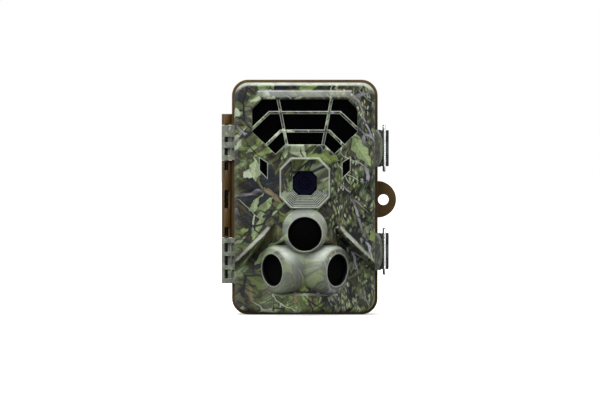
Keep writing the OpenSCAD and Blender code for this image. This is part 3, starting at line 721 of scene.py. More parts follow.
def round_corners(x, z, half_w, half_h, r):
    """Moves a rectangular grid's points so that its corners follow arcs."""
    in_x, in_z = half_w - r, half_h - r
    u = np.clip((np.abs(x) - in_x) / r, 0, 1)
    v = np.clip((np.abs(z) - in_z) / r, 0, 1)
    corner = (u > 0) & (v > 0)
    new_x = np.where(corner, np.sign(x) * (in_x + r * u * np.sqrt(1 - v * v / 2)), x)
    new_z = np.where(corner, np.sign(z) * (in_z + r * v * np.sqrt(1 - u * u / 2)), z)
    return new_x, new_z


def border_distance(x, z, half_w, half_h, r):
    """Distance from each point inwards to the rounded rectangle's edge."""
    dx = np.abs(x) - (half_w - r)
    dz = np.abs(z) - (half_h - r)
    outside = np.hypot(np.maximum(dx, 0), np.maximum(dz, 0))
    return r - outside - np.minimum(np.maximum(dx, dz), 0)


def side_frame():
    """Axes of the right-hand side sensor: outwards, across and up."""
    out = Vector((sin(SIDE_TURN) * cos(SIDE_DIP), -cos(SIDE_TURN) * cos(SIDE_DIP),
                  -sin(SIDE_DIP)))
    across = Vector((cos(SIDE_TURN), sin(SIDE_TURN), 0))
    up = across.cross(out) * -1
    return out, across, up if up.z > 0 else -up


SIDE_OUT, SIDE_ACROSS, SIDE_UP = side_frame()


def in_openings(x, y, z):
    """Where the face has no skin: fan, small windows, lens hood, collar and side sensors."""
    side = np.abs(x)
    lens_z = np.abs(z - LENS.z)
    fan = [(-1, FAN_BOTTOM), (9.8, FAN_BOTTOM), (11.2, FAN_BOTTOM - 0.3)] + FAN_SIDE + [(-1, FAN_TOP)]
    gone = outline_distance(side, z, offset_outline(fan, 0.8)) < 0
    gone |= outline_distance(side, z, offset_outline(WING, 0.5)) < 0
    gone |= np.maximum(np.maximum(side, lens_z), (side + lens_z) / 1.414 - 1.6) < 13.2
    gone |= np.hypot(x, z - PIR.z - 1.2) < 11
    place = np.stack([side - SIDE_MOUTH.x, y - SIDE_MOUTH.y, z - SIDE_MOUTH.z], -1)
    return gone | (np.hypot(place @ np.array(SIDE_ACROSS), place @ np.array(SIDE_UP)) < 10.1)


def pulled_in(c, half, wall, band=6):
    """Grid lines of the inside skin: a band along the edge is squeezed to leave room for the wall."""
    near, size = half - band, np.abs(c)
    return np.sign(c) * np.where(size < near, size, near + (size - near) * (band - wall) / band)


def face_grid(step=0.55):
    """The face, its sides, its back rim and its inside, as one closed skin with openings."""
    gx, gz = np.meshgrid(graded_lines(HALF_W, step), graded_lines(HALF_H, step), indexing="ij")
    ox, oz = round_corners(gx, gz, HALF_W, HALF_H, CORNER_R)
    inset = np.clip(border_distance(ox, oz, HALF_W, HALF_H, CORNER_R), 0, EDGE_R)
    bend = EDGE_R - np.sqrt(np.maximum(EDGE_R ** 2 - (EDGE_R - inset) ** 2, 0))
    oy = face_depth(ox, oz + MID_Z) + bend
    ix, iz = round_corners(pulled_in(gx, HALF_W, FRONT_WALL), pulled_in(gz, HALF_H, FRONT_WALL),
                           HALF_W - FRONT_WALL, HALF_H - FRONT_WALL, CORNER_R - FRONT_WALL)
    keep = ~in_openings(ox, oy, oz + MID_Z)
    nx, nz = gx.shape
    outer = np.arange(nx * nz).reshape(nx, nz)
    points = np.concatenate([np.stack([ox, oy, oz + MID_Z], -1).reshape(-1, 3),
                             np.stack([ix, oy + SKIN, iz + MID_Z], -1).reshape(-1, 3)])
    cell = keep[:-1, :-1] & keep[1:, :-1] & keep[1:, 1:] & keep[:-1, 1:]
    faces = []
    for i, j in zip(*np.nonzero(cell)):
        quad = (outer[i, j], outer[i + 1, j], outer[i + 1, j + 1], outer[i, j + 1])
        faces.append(quad)
        faces.append(tuple(q + nx * nz for q in reversed(quad)))
    faces += opening_walls(cell, outer, nx * nz)
    border = [(i, 0) for i in range(nx - 1)] + [(nx - 1, j) for j in range(nz - 1)]
    border += [(i, nz - 1) for i in range(nx - 1, 0, -1)] + [(0, j) for j in range(nz - 1, 0, -1)]
    edge = [int(outer[place]) for place in border]
    rim, rim_faces = side_walls(points, edge, [i + nx * nz for i in edge])
    return np.concatenate([points, rim]), faces + rim_faces


def opening_walls(cell, outer, shift):
    """Faces that join the outside skin to the inside one round each opening."""
    faces = []
    cols, rows = cell.shape
    for i, j in zip(*np.nonzero(cell)):
        sides = (((i, j - 1), outer[i, j], outer[i + 1, j]),
                 ((i + 1, j), outer[i + 1, j], outer[i + 1, j + 1]),
                 ((i, j + 1), outer[i + 1, j + 1], outer[i, j + 1]),
                 ((i - 1, j), outer[i, j + 1], outer[i, j]))
        for (a, b), p, q in sides:
            if 0 <= a < cols and 0 <= b < rows and not cell[a, b]:
                faces.append((q, p, p + shift, q + shift))
    return faces


def side_walls(points, outer_ring, inner_ring):
    """Carries the face's edge back to the parting plane, over the rim and forward again inside."""
    rows = [points[outer_ring], points[outer_ring], points[inner_ring]]
    pull = points[outer_ring] - np.array([0, 0, MID_Z])
    pull[:, 1] = 0
    rows[0][:, 1] = PARTING_Y - RIM_BEVEL
    rows[1][:, 1] = PARTING_Y
    rows[1] -= RIM_BEVEL * pull / np.linalg.norm(pull, axis=1, keepdims=True)
    rows[2][:, 1] = PARTING_Y
    count = len(outer_ring)
    new = [list(range(len(points) + k * count, len(points) + (k + 1) * count)) for k in range(3)]
    ids = [outer_ring] + new + [inner_ring]
    faces = []
    for a, b in zip(ids, ids[1:]):
        for i in range(count):
            j = (i + 1) % count
            faces.append((a[i], b[i], b[j], a[j]))
    return np.concatenate(rows), faces


def build_face(material):
    points, faces = face_grid()
    part = points.tolist(), [tuple(int(i) for i in face) for face in faces]
    face = add_piece("front_shell_face", part, material, "front_half", 60)
    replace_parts(face, "front_shell")


# ---- front half: what stands on the face

def fan_outline():
    half = [(11.2, FAN_BOTTOM)] + FAN_SIDE
    return half + [(-x, z) for x, z in reversed(half)]


def strip(line, width, y_front, y_back, chamfer=0.35):
    """A bar of trapezoid section along a front-view line, with mitred corners."""
    section = [(-width / 2, y_back), (-width / 2, y_front + chamfer), (-width / 2 + chamfer, y_front),
               (width / 2 - chamfer, y_front), (width / 2, y_front + chamfer), (width / 2, y_back)]
    loops = []
    for i, here in enumerate(line):
        here = Vector(here)
        before = (here - Vector(line[i - 1])).normalized() if i else None
        after = (Vector(line[i + 1]) - here).normalized() if i < len(line) - 1 else None
        before, after = before or after, after or before
        n0, n1 = Vector((before.y, -before.x)), Vector((after.y, -after.x))
        mitre = (n0 + n1) / (1 + n0.dot(n1))
        loops.append([(here.x + mitre.x * s, y, here.y + mitre.y * s) for s, y in section])
    return loft(loops, True)


def fan_parts():
    """The raised frame round the lamps and the ribs that cross it."""
    profile = [(4.4, -45), (4.4, -46.8), (4.1, -47.05), (1.5, -48.45), (1.1, -48.6), (0.45, -48.6),
               (0.1, -48.4), (0, -48.1), (0, -45)]
    ribs = (([(-31, 105.9), (-20.2, 116.1), (20.2, 116.1), (31, 105.9)], -48.2),
            ([(-23.6, 96), (-13.9, 105.5), (13.9, 105.5), (23.6, 96)], -48.2),
            ([(-15.4, 124.4), (-10.2, 97.2)], -48.25), ([(15.4, 124.4), (10.2, 97.2)], -48.25))
    return join_parts([frame_ring(fan_outline(), profile)] + [strip(line, 1.7, y, -45.2) for line, y in ribs])


def octagon(r, chamfer, lift=1.6):
    """An octagon round the lens axis with two extra points low on its upright sides."""
    c = r - chamfer
    right = [(c, -r), (r, -c), (r, -c + lift), (r, c), (c, r)]
    return [(LENS.x + x, LENS.z + z) for x, z in right + [(-x, z) for x, z in reversed(right)]]


def hood_parts():
    """The lens hood: a thin rim, a smooth upper funnel and seven steps with sloping risers below."""
    rim = ((15, 6.6, -44.8), (15, 6.6, -46.9), (14.6, 6.45, -47.3), (14.4, 6.4, -49.6),
           (14.1, 6.3, -49.95), (13.75, 6.2, -49.95), (13.5, 6.15, -49.6))
    loops = [at_depth(octagon(r, c), y) for r, c, y in rim]
    outer_r, inner_r = 13.4, 6.95
    outer_chamfer, inner_chamfer = 6.15, 3.25
    front_y, back_y = -49.5, -43.5
    riser = 0.30
    steps = 7
    for i in range(steps):
        stepped_y = front_y + (back_y - front_y) * i / steps
        for t, lag in ((i / steps, 0), ((i + 1) / steps, riser)):
            r = outer_r + (inner_r - outer_r) * t + lag
            chamfer = outer_chamfer + (inner_chamfer - outer_chamfer) * t + lag * 0.4
            smooth_y = front_y + (back_y - front_y) * (outer_r - r) / (outer_r - inner_r)
            low = LENS.z - r + chamfer + 0.1
            loops.append([(x, stepped_y if z < low else smooth_y, z) for x, z in octagon(r, chamfer)])
    for r, chamfer, y in ((inner_r, inner_chamfer, back_y), (6.9, 3.2, -42.4), (9.5, 4.4, -42.4)):
        loops.append(at_depth(octagon(r, chamfer), y))
    return ring(loops)


def collar_parts():
    """The cone round the main motion sensor; its base sits higher than its rim."""
    profile = [(48.9, 12.3, -35.5), (48.9, 12.9, -45), (48.9, 13.1, -46.7), (48.9, 12.7, -47.4),
               (48.3, 11.9, -48.2), (46.95, 10.3, -49.5), (46.8, 10.05, -49.62), (46.7, 9.85, -49.55),
               (46.7, 9.72, -49.3), (46.7, 9.72, -44), (46.9, 11, -43.5), (48.9, 11.6, -36)]
    return ring([at_depth(circle(0, z, r, 96), y) for z, r, y in profile])


def side_rings(profile):
    """A ring turned about each side sensor's axis."""
    return both_sides(ring(turned_loops(profile, SIDE_MOUTH, SIDE_OUT, SIDE_ACROSS, SIDE_UP, 96)))


def dome_parts():
    """The bulges that carry the side sensors: a thin lip, a broad shoulder and a barrel."""
    bend = [radians(a) for a in range(0, 89, 8)]
    shoulder = [(10.9 + 3.4 * cos(a) ** 0.8, -5.6 + 5.3 * sin(a)) for a in bend]
    lip = [(10.6, -0.2), (9.95, 0), (9.75, 0.12), (9.45, 0.12), (9.25, -0.1), (9.15, -0.6)]
    return side_rings([(14.3, -15.5)] + shoulder + lip + [(9.15, -6.5), (10.5, -9), (10.5, -15.5)])


def wing_parts():
    """Thin raised frames round the two small windows."""
    profile = [(1.1, -45.2), (1.1, -46.9), (0.9, -47.05), (0.5, -47.15), (0.3, -47.3), (0.1, -47.1),
               (0, -46.9), (0, -45.4)]
    return both_sides(frame_ring(WING, profile))


KNUCKLE_R = 2.75
KNUCKLES = {"front_knuckle_upper": (88.8, 108.8, ((99, 102.1), (91.5, 95.7))),
            "front_knuckle_lower": (17.9, 44, ((36, 41.1), (28.3, 33.6), (20.8, 25.9)))}


def build_knuckles(material):
    """Hinge knuckles of the front half, with the pockets that the mould cores leave."""
    bend = [radians(a) for a in range(0, 271, 10)]
    outline = [(HINGE.x + KNUCKLE_R * cos(a), HINGE.y + KNUCKLE_R * sin(a)) for a in bend]
    outline += [(-39.4, -15.75), (-39.4, -13.15), (HINGE.x + KNUCKLE_R, -13.15)]
    for name, (z0, z1, pockets) in KNUCKLES.items():
        obj = add_piece(name, prism_z(outline, z0, z1), material, "front_half")
        cuts = [solid_box((HINGE.x - 1.15, -18, p0), (-42.6, -13.95, p1)) for p0, p1 in pockets]
        cuts += [solid_box((-42, -18, p0 + 0.2), (-39.9, -14.4, p1 - 0.2)) for p0, p1 in pockets]
        cut_away(obj, join_parts(cuts))
        add_bevel(obj, 0.25)


def catch_part(z_mid, half=10.65, rows=20, root=39.2):
    """The arched block that a bail hooks over."""
    loops = []
    for i in range(rows + 1):
        t = -cos(pi * i / rows)
        nose = 43.3 + 3.1 * (1 - abs(t) ** 3.2 * 0.9)
        outline = [(root, -16), (nose - 0.3, -16), (nose, -16.4), (nose, -19.7), (nose - 0.35, -20.05),
                   (nose - 1.7, -20.1), (nose - 1.75, -25.2), (nose - 3.3, -27.6), (root, -28.6)]
        loops.append([(x, y, z_mid + half * t) for x, y in outline])
    return loft(loops, True)


def side_place(point):
    """How far a point is from a side sensor's axis, and how far along it."""
    local = Vector((abs(point.x), point.y, point.z)) - SIDE_MOUTH
    along = local.dot(SIDE_OUT)
    return (local - SIDE_OUT * along).length, along


def in_hood_steps(centre):
    return max(abs(centre.x), abs(centre.z - LENS.z)) < 13.45 and centre.z < LENS.z - 5


def on_hood_edge(centre, normal):
    return centre.y < -49.55 or (in_hood_steps(centre) and normal.y > -0.6)


# The hood's treads take the dark material as painted shade.
def shaded_hood_tread(centre, normal):
    return in_hood_steps(centre) and normal.y < -0.9 and centre.y > -49.55


def on_collar_edge(centre, normal):
    return centre.y < -49.3 and hypot(centre.x, centre.z - PIR.z) < 10.4


def on_dome_lip(centre, normal):
    radius, along = side_place(centre)
    return along > -0.25 and radius < 10


# The bore's wall is coloured black: a black liner, and painted shade deep in the bore.
def shaded_dome_bore(centre, normal):
    radius, along = side_place(centre)
    return radius < 9.3 and along < -0.2


def on_window_edge(centre, normal):
    return centre.y < -47 and -0.9 < normal.y < -0.2


def on_fan_edge(centre, normal):
    return centre.y < -47.5 and -0.85 < normal.y < -0.2


def on_latch_lug(centre, normal):
    """The two lugs that carry the levers; the padlock eye between them stays brown."""
    return centre.x > HALF_W + 2.3 and not LATCH_GAP[0] <= centre.z <= LATCH_GAP[1]


def build_front_shell(camo, framed, top_lit, edge_highlight, dark, black):
    build_face(camo)
    # Pale slots on rims, lips, frame edges and the hood's risers paint a highlight; the dark slot on the hood's
    # treads paints shade; the black slot in the side bores is a black liner that also paints the shade deep in
    # the bores.
    parts = (("fan_frame", fan_parts(), framed, ((edge_highlight, on_fan_edge),)),
             ("lens_hood", hood_parts(), framed, ((edge_highlight, on_hood_edge), (dark, shaded_hood_tread))),
             ("sensor_collar", collar_parts(), top_lit, ((edge_highlight, on_collar_edge),)),
             ("side_sensor_domes", dome_parts(), top_lit, ((edge_highlight, on_dome_lip), (black, shaded_dome_bore))),
             ("small_window_frames", wing_parts(), framed, ((edge_highlight, on_window_edge),)))
    for name, part, skin, slots in parts:
        obj = add_piece(name, part, skin, "front_half", 32)
        for material, rule in slots:
            give_slot(obj, material, rule)
    for name, node in (("catch_upper", "upper_lever"), ("catch_lower", "lower_lever")):
        add_bevel(add_piece(name, catch_part(cad_centre(node).z), dark, "front_half"), 0.3)


def build_liners(material):
    """Black retaining rings just inside the mouths of the three motion sensors; their black also paints the
    shade inside the mouths.
    """
    sides = side_rings([(9.25, -0.3), (8.95, -0.4), (8.8, -0.8), (8.8, -2.6), (9.25, -2.6)])
    profile = ((9.85, -49.2), (9.45, -49.2), (9.3, -48.9), (9.3, -47.7), (9.85, -47.7))
    main = ring([at_depth(circle(0, PIR.z, r, 96), y) for r, y in profile])
    add_piece("sensor_rings", join_parts([sides, main]), material, "front_half")


# ---- inside the case

def tube(path, radius, sides=10):
    """A round wire along a path of points."""
    angles = [2 * pi * k / sides for k in range(sides)]
    loops = []
    side = None
    for i, here in enumerate(path):
        ahead = Vector(path[min(i + 1, len(path) - 1)]) - Vector(path[max(i - 1, 0)])
        ahead.normalize()
        if side is None:
            side = ahead.orthogonal().normalized()
        side = (side - ahead * side.dot(ahead)).normalized()
        other = ahead.cross(side)
        middle = Vector(here)
        loops.append([tuple(middle + (side * cos(a) + other * sin(a)) * radius) for a in angles])
    return loft(loops, True)


CELL_PITCH = 15.2
CELL_COUNT = 4
CELL_LENGTH = 50.5
CELL_BAND = 37.9             # where the coloured band begins, from the flat end
CELL_CAP = 48.95             # where the bare metal of the raised end begins
CELL_PROFILE = [(0, 0.1), (5.6, 0.1), (5.9, 0), (6.7, 0.05), (7.1, 0.35), (7.25, 0.9), (7.25, 38),
                (7.25, 48.4), (7.05, 49), (6.3, 49.25), (5.6, 49.1), (5.4, 48.9), (2.9, 48.9), (2.7, 49.1),
                (2.7, 50.2), (2.4, 50.5), (0, 50.5)]


def cell_places(node):
    """Bottom centre of each cell in a row, and whether it points up."""
    low, high = cad_box(node)
    y = (low.y + high.y) / 2
    return [(Vector(((i - 1.5) * CELL_PITCH, y, low.z)), i % 2 == 0) for i in range(CELL_COUNT)]


def cell_part(place, up):
    down = [(r, CELL_LENGTH - along) for r, along in reversed(CELL_PROFILE)]
    return lathe(CELL_PROFILE if up else down, place, "z", 40)


def build_cells(node, sleeve, band, bare):
    """A row of round cells: sleeve, coloured shoulder band and bare metal ends."""
    places = cell_places(node)

    def along_cell(centre):
        place, up = min(places, key=lambda each: abs(centre.x - each[0].x))
        return centre.z - place.z if up else CELL_LENGTH - (centre.z - place.z)

    def is_bare(centre, normal):
        along = along_cell(centre)
        return along > CELL_CAP or along < 0.5 or (along > CELL_CAP - 0.45 and abs(normal.z) > 0.9)

    part = join_parts([cell_part(place, up) for place, up in places])
    obj = add_piece("cells_" + node.split("_")[-1], part, sleeve, "rear_half", 40)
    give_slot(obj, band, lambda centre, normal: along_cell(centre) > CELL_BAND)
    give_slot(obj, bare, is_bare)
    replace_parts(obj, node)


def build_springs(material):
    """Conical coil springs behind the flat end of every cell, pressed lower under those that point up."""
    parts = []
    for node in ("aa_cells_lower", "aa_cells_upper"):
        for place, up in cell_places(node):
            height, turns = (0.85, 1.6) if up else (3.3, 3.4)
            foot = place.z - 0.9 if up else place.z + CELL_LENGTH + 3.4
            rise = height if up else -height
            steps = int(turns * 22)
            path = []
            for i in range(steps + 1):
                t = i / steps
                r = 4.3 - 1.7 * t
                a = 2 * pi * turns * t
                path.append((place.x + r * cos(a), place.y + r * sin(a), foot + rise * t))
            parts.append(tube(path, 0.36, 8))
    obj = add_piece("coil_springs", join_parts(parts), material, "rear_half", 60)
    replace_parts(obj, "battery_springs")


SCREW_RISE = 1.05


def build_screws(name, node, spots, head_y, head_r, facing, material, body, shank):
    """Pan-head screws with a cross recess. facing is 1 for heads that look along +Y and -1 for -Y."""
    profile = [shank, (shank[0], 0), (head_r, 0), (head_r, 0.35), (head_r * 0.92, 0.75),
               (head_r * 0.62, SCREW_RISE), (0, SCREW_RISE + 0.08)]
    profile = [(r, facing * along) for r, along in profile][::facing]      # always from low to high y
    screws = join_parts([lathe(profile, (x, head_y, z), "y", 32) for x, z in spots])
    obj = add_piece(name, screws, material, body)
    arm = head_r * 0.55
    face_y = head_y + facing * (SCREW_RISE + 0.05)
    near, far = sorted((face_y - facing * 0.7, face_y + facing))
    for wide, tall in ((arm, arm * 0.26), (arm * 0.26, arm)):
        cuts = [solid_box((x - wide, near, z - tall), (x + wide, far, z + tall)) for x, z in spots]
        cut_away(obj, join_parts(cuts))
    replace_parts(obj, node)


KEYS = ("key_up", "key_down", "key_left", "key_right", "key_ok", "key_menu")
ARROW = [(-1.3, -0.8), (1.3, -0.8), (0, 1.3)]
BAR = [(-1.3, -0.2), (1.3, -0.2), (1.3, 0.2), (-1.3, 0.2)]
ARROW_TURNS = {"key_up": 0, "key_right": 1, "key_down": 2, "key_left": 3}


def key_sign(node, centre, top):
    """The raised arrow, bars or ring on a key."""
    if node == "key_ok":
        profile = ((0.9, top - 0.3), (0.9, top), (1.4, top), (1.4, top - 0.3))
        return ring([at_depth(circle(centre.x, centre.z, r, 40), y) for r, y in profile])
    if node == "key_menu":
        outlines = [[(x, z + dz) for x, dz in BAR] for z in (-0.9, 0, 0.9)]
    else:
        a = -pi / 2 * ARROW_TURNS[node]
        c, s = cos(a), sin(a)
        outlines = [[(x * c - z * s, x * s + z * c) for x, z in ARROW]]
    return join_parts([prism_y([(centre.x + x, centre.z + z) for x, z in outline], top - 0.3, top + 0.02)
                       for outline in outlines])


def build_keys(material, sign):
    """Domed rubber keys with a raised sign each."""
    for node in KEYS:
        centre = cad_centre(node)
        low, high = cad_box(node)
        base, top = low.y, high.y
        profile = [(4.2, base), (4.2, base + 0.9), (3.4, base + 1), (3.4, top - 0.55), (3.15, top - 0.15),
                   (2.7, top), (2.2, top - 0.1), (0, top - 0.22)]
        cap = lathe(profile, (centre.x, 0, centre.z), "y", 48)
        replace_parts(add_piece(node + "_cap", cap, material, node, 40), node)
        add_piece(node + "_mark", key_sign(node, centre, top), sign, node)


def build_panel_trim(material):
    """Raised frame round the screen and rings round the keys, on the inner panel."""
    low, high = cad_box("lcd_window")
    y = PANEL_HIGH.y
    screen = [(low.x, low.z), (high.x, low.z), (high.x, high.z), (low.x, high.z)]
    profile = [(3.4, y - 0.4), (3.4, y + 0.3), (3, y + 0.55), (0.9, y + 0.55), (0.15, y - 0.1),
               (0.15, y - 0.5)]
    key_profile = ((4.6, y - 0.3), (4.5, y + 0.35), (4.3, y + 0.45), (3.8, y + 0.3), (3.65, y - 0.3))
    parts = [frame_ring(screen, profile)]
    for node in KEYS:
        c = cad_centre(node)
        parts.append(ring([at_depth(circle(c.x, c.z, r, 48), depth) for r, depth in key_profile]))
    add_piece("panel_trim", join_parts(parts), material, "front_half")


def build_cable(material, wires=6, points=40):
    """Flat lead of six wires that crosses the hinge in a slack fold."""
    low, high = cad_box("ribbon_cable")
    x = (low.x + high.x) / 2
    start, end = Vector((x, high.y - 0.5, 0)), Vector((x, low.y, 0))
    pitch = (high.z - low.z) / wires
    parts = []
    for i in range(wires):
        z = low.z + (i + 0.5) * pitch
        path = []
        for k in range(points + 1):
            here = start.lerp(end, k / points)
            path.append((here.x + 0.6 * sin(pi * k / points), here.y, z))
        parts.append(tube(path, pitch * 0.5))
    lead = make_object("ribbon_lead", join_parts(parts), material, 180)
    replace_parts(lead, "ribbon_cable")
    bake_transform(lead)


# ---- latches

LIP = [(-1.6, -2.4), (-1.3, -0.8), (-0.9, 0.9), (-0.4, 1.5), (0.15, 1.5), (0.3, 1), (0.1, 0.2),
       (0.04, -2.6)]
RIDGE = [(-0.3, -0.4), (0.2, -0.2), (0.2, 0.2), (-0.3, 0.4)]


def build_lever_lips(material):
    """The curled finger lip and grip ridges on each lever's plate."""
    for node in ("upper_lever", "lower_lever"):
        low, high = cad_box(node)
        top, bottom = high.z - 0.3, low.z + 0.3
        parts = [prism_z([(high.x + x, high.y + y) for x, y in LIP], bottom, top)]
        for back in (4, 5.5, 7, 8.5):
            ridge = [(high.x + x, high.y - back + y) for x, y in RIDGE]
            parts.append(prism_z(ridge, bottom + 2, top - 2))
        add_bevel(add_piece(node + "_lip", join_parts(parts), material, node), 0.2)


# ---- CAD nodes that keep their own shape

def dress(material, *nodes, bevel=0, segments=2):
    """Gives CAD nodes their finish and, where wanted, rounded edges."""
    for node in nodes:
        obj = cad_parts[node]
        obj.data.materials.clear()
        obj.data.materials.append(material)
        for polygon in obj.data.polygons:
            polygon.material_index = 0
        if bevel:
            weld = obj.modifiers.new("weld", "WELD")
            weld.merge_threshold = WELD
            add_bevel(obj, bevel, segments)


def build_outside():
    # Each camo material below gets a painted highlight on faces that look up, stronger for larger amounts.
    camo = camo_plastic("camo_plastic", top_highlight=0.68)
    framed = camo_plastic("camo_frame", edge=0.25, top_highlight=0.26)
    # a lit copy of the print for the collar and side domes: paler all over, with a strong painted highlight on
    # top
    top_lit = camo_plastic("camo_top_lit", edge=0.22, top_highlight=0.8, wash=0.24)
    # painted highlight: a much paler copy of the print for rims, lips, frame edges and the hood's risers
    edge_highlight = camo_plastic("camo_edge_highlight", edge=0.1, wash=0.55)
    knuckles = camo_plastic("camo_knuckles", (60, 21, 0), top_highlight=0.6, wash=0.3)
    ring_black = glossy_black("ring_black", (0.002, 0.002, 0.002, 1), 0.3, 0.2)
    # a darker copy of the print: painted shade on the lens hood's treads; the catches are made of it too
    dark = camo_plastic("camo_dark", (9, 4, 0), 0.55, 0.3, 0.3, 0.1)
    build_front_shell(camo, framed, top_lit, edge_highlight, dark, ring_black)
    build_knuckles(knuckles)
    build_liners(ring_black)
    brown = moulded_plastic("brown_plastic", srgb(84, 62, 24), srgb(70, 51, 18), srgb(98, 74, 33), 0.42)
    lever = moulded_plastic("lever_plastic", srgb(44, 47, 45), srgb(34, 37, 36), srgb(56, 60, 57), 0.38)
    dress(brown, "rear_shell", bevel=0.35, segments=3)
    give_slot(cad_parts["rear_shell"], lever, on_latch_lug)
    dress(lever, "upper_lever", "lower_lever", bevel=0.3)
    build_lever_lips(lever)
    black = glossy_black("filter_acrylic", (0.0006, 0.0006, 0.0009, 1), 0.08, 0.12)
    dress(black, "led_window", "indicator_window", "light_sensor_window")
    left_mouth = Vector((-SIDE_MOUTH.x, SIDE_MOUTH.y, SIDE_MOUTH.z))
    left_out = (-SIDE_OUT.x, SIDE_OUT.y, SIDE_OUT.z)
    dress(fresnel_black("fresnel_main", PIR, (0, 1, 0)), "pir_lens_main")
    dress(fresnel_black("fresnel_right", SIDE_MOUTH, SIDE_OUT), "pir_lens_right")
    dress(fresnel_black("fresnel_left", left_mouth, left_out), "pir_lens_left")
    dress(tinted_window("lens_window", (0.004, 0.004, 0.016, 1), 0.25), "lens_window")
    dress(metal("chrome_wire", srgb(236, 239, 242), 0.34, wear=0.04), "upper_bail", "lower_bail")
    dress(metal("black_steel", srgb(58, 56, 54), 0.35), "hinge_pin", "latch_pins")
    dress(threaded_metal("brass", srgb(196, 160, 88)), "tripod_insert")
    dress(rubber("cover_rubber", srgb(38, 32, 26), srgb(52, 46, 38)), "port_cover", bevel=0.25)


def build_battery_side(steel):
    tray = moulded_plastic("tray_plastic", srgb(40, 42, 42), srgb(32, 34, 34), srgb(52, 54, 54), 0.5)
    dress(tray, "battery_tray", bevel=0.15)
    dress(rubber("seal_rubber", srgb(48, 48, 48), srgb(70, 70, 70)), "gasket", bevel=0.15)
    sleeve = moulded_plastic("cell_body", srgb(36, 40, 46), srgb(30, 34, 40), srgb(46, 50, 58), 0.3,
                             grain=0.6, depth=0.004)
    band = metal("cell_band", srgb(186, 128, 72), 0.3, wear=0.08)
    bare = metal("cell_metal", srgb(196, 196, 196), 0.25)
    for node in ("aa_cells_lower", "aa_cells_upper"):
        build_cells(node, sleeve, band, bare)
    build_springs(metal("spring_steel", srgb(190, 190, 186), 0.2))
    dress(steel, "contact_plates", bevel=0.1)
    low, high = cad_box("tray_screws")
    spots = [(x, (low.z + high.z) / 2) for x in (low.x + 2.2, high.x - 2.2)]
    build_screws("tray_screw_heads", "tray_screws", spots, low.y + 1.3, 2.2, -1, steel, "rear_half",
                 (1.2, -16))


def build_panel_side(steel):
    panel = moulded_plastic("panel_plastic", srgb(50, 54, 46), srgb(42, 46, 40), srgb(62, 66, 56), 0.5,
                            grain=2.4, depth=0.06)
    dress(panel, "inner_panel")
    build_panel_trim(panel)
    low, high = cad_box("panel_screws")
    heights = (low.z + 2.6, (low.z + high.z) / 2 + 3, high.z - 2.6)
    spots = [(x, z) for x in (low.x + 2.6, high.x - 2.6) for z in heights]
    build_screws("panel_screw_heads", "panel_screws", spots, PANEL_HIGH.y + 0.05, 2.6, 1, steel, "front_half",
                 (1.4, -5))
    build_keys(rubber("key_rubber", srgb(96, 98, 98), srgb(122, 124, 124)),
               rubber("key_sign", srgb(206, 206, 200), srgb(224, 224, 218)))
    knob = moulded_plastic("switch_plastic", srgb(30, 30, 32), srgb(24, 24, 26), srgb(40, 40, 42))
    dress(knob, "power_switch", bevel=0.25)
    dress(glossy_black("screen_glass", (0.006, 0.007, 0.009, 1), 0.05, 0.5), "lcd_window", bevel=0.15)
    build_cable(rubber("wire_jacket", srgb(30, 30, 30), srgb(48, 48, 48)))


def build_electronics(steel):
    board = circuit_board("board", srgb(22, 74, 48), srgb(52, 120, 84))
    dress(board, "led_board", "main_board", "key_board", "image_sensor", "pir_boards")
    dress(steel, "lcd_module", "card_socket", "usb_socket", "microphone", "pir_sensors")
    black = moulded_plastic("jack_plastic", srgb(30, 30, 32), srgb(24, 24, 26), srgb(40, 40, 42), 0.4)
    dress(black, "dc_jack", "speaker", "memory_card", "lens_holder", "ir_cut_filter", bevel=0.1)
    epoxy = tinted_window("lamp_epoxy", (0.5, 0.5, 0.55, 1), 0.7)
    dress(epoxy, "ir_leds", "light_sensor", "indicator_led")
    dress(lens_stack("lens_mount", 0.4, 0.08), "lens_barrel", bevel=0.1)
    dress(lens_stack("lens_glass", 0.04, 0.3), "lens_element")


# ---- studio

def build_world():
    """White to the camera; dim and softly striped to reflections, so that polished black stays black."""
    world = bpy.data.worlds.new("studio")
    bpy.context.scene.world = world
    world.use_nodes = True
    g = Graph(world.node_tree)
    path = g.node("ShaderNodeLightPath").outputs
    direction = g.split(g.node("ShaderNodeTexCoord").outputs["Generated"])
    sides = g.step(g.math("ABSOLUTE", direction[0]), 0.35, 0.8, 0, 0.9)
    above = g.step(direction[2], 0.25, 0.8, 0, 0.9)
    reflected = g.add(0.05, g.math("MAXIMUM", sides, above))
    strength = g.mix(path["Is Glossy Ray"], (0.3, 0.3, 0.3, 1), g.combine(reflected, reflected, reflected))
    strength = g.mix(path["Is Camera Ray"], strength, (1, 1, 1, 1))
    g.set(world.node_tree.nodes["Background"].inputs[0], strength)


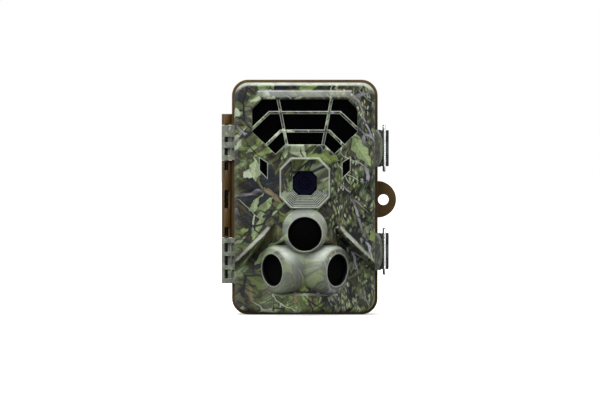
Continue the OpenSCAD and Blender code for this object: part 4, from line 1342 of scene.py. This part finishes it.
def build_floor():
    """A pale floor that glows a little, so that it meets the white background."""
    g, place = new_material("floor")
    tone = g.mix(g.step(g.noise(place, 0.01, 3), 0.3, 0.7), (0.86, 0.86, 0.86, 1), (0.9, 0.9, 0.9, 1))
    glow = g.step(g.vector("LENGTH", place), 120, 600, 0.5, 1.1)
    material = shade(g, Base_Color=tone, Roughness=0.8, Specular_IOR_Level=0,
                     Emission_Color=(1, 1, 1, 1), Emission_Strength=glow)
    mesh = bpy.data.meshes.new("floor")
    mesh.from_pydata([(-9, -9, 0), (9, -9, 0), (9, 9, 0), (-9, 9, 0)], [], [(0, 1, 2, 3)])
    mesh.materials.append(material)
    floor = bpy.data.objects.new("floor", mesh)
    bpy.context.scene.collection.objects.link(floor)
    floor.visible_glossy = False
    floor.visible_diffuse = False


LIGHTS = {"key": ((-0.3, -1.2, 0.85), 0.8, 8.6), "top": ((0, -0.25, 1.1), 0.9, 13.5),
          "right": ((1.1, -0.85, 0.16), 0.5, 3.4), "left": ((-1.1, -0.85, 0.16), 0.5, 2.8),
          "back": ((-0.5, 1.2, 0.9), 0.9, 6)}


def aim(obj, spot, target):
    """Places a light or camera at a spot and turns it towards a target."""
    obj.location = spot
    obj.rotation_euler = (target - Vector(spot)).to_track_quat("-Z", "Y").to_euler()


def build_lights():
    """Soft discs: high in front, overhead, low at both sides and behind."""
    for name, (spot, size, power) in LIGHTS.items():
        light = bpy.data.lights.new(name, "AREA")
        light.shape = "DISK"
        light.size = size
        light.energy = power
        lamp = bpy.data.objects.new(name, light)
        bpy.context.scene.collection.objects.link(lamp)
        aim(lamp, spot, Vector((0, 0, 0.07)))


def build_camera():
    """A long lens square to the face, just above its middle."""
    distance = 5
    frame_width = 0.3438
    target = Vector((-0.00276, (FACE_Y + PARTING_Y) / 2 * MM, 0.0660))
    data = bpy.data.cameras.new("camera")
    data.lens = data.sensor_width * distance / frame_width
    data.clip_end = 50
    camera = bpy.data.objects.new("camera", data)
    bpy.context.scene.collection.objects.link(camera)
    aim(camera, target + Vector((0, -distance, distance * tan(radians(0.6)))), target)
    bpy.context.scene.camera = camera
    bpy.context.scene.view_settings.view_transform = "Standard"


build_outside()
steel = metal("steel", srgb(170, 170, 170), 0.28)
build_battery_side(steel)
build_panel_side(steel)
build_electronics(steel)
build_world()
build_floor()
build_lights()
build_camera()
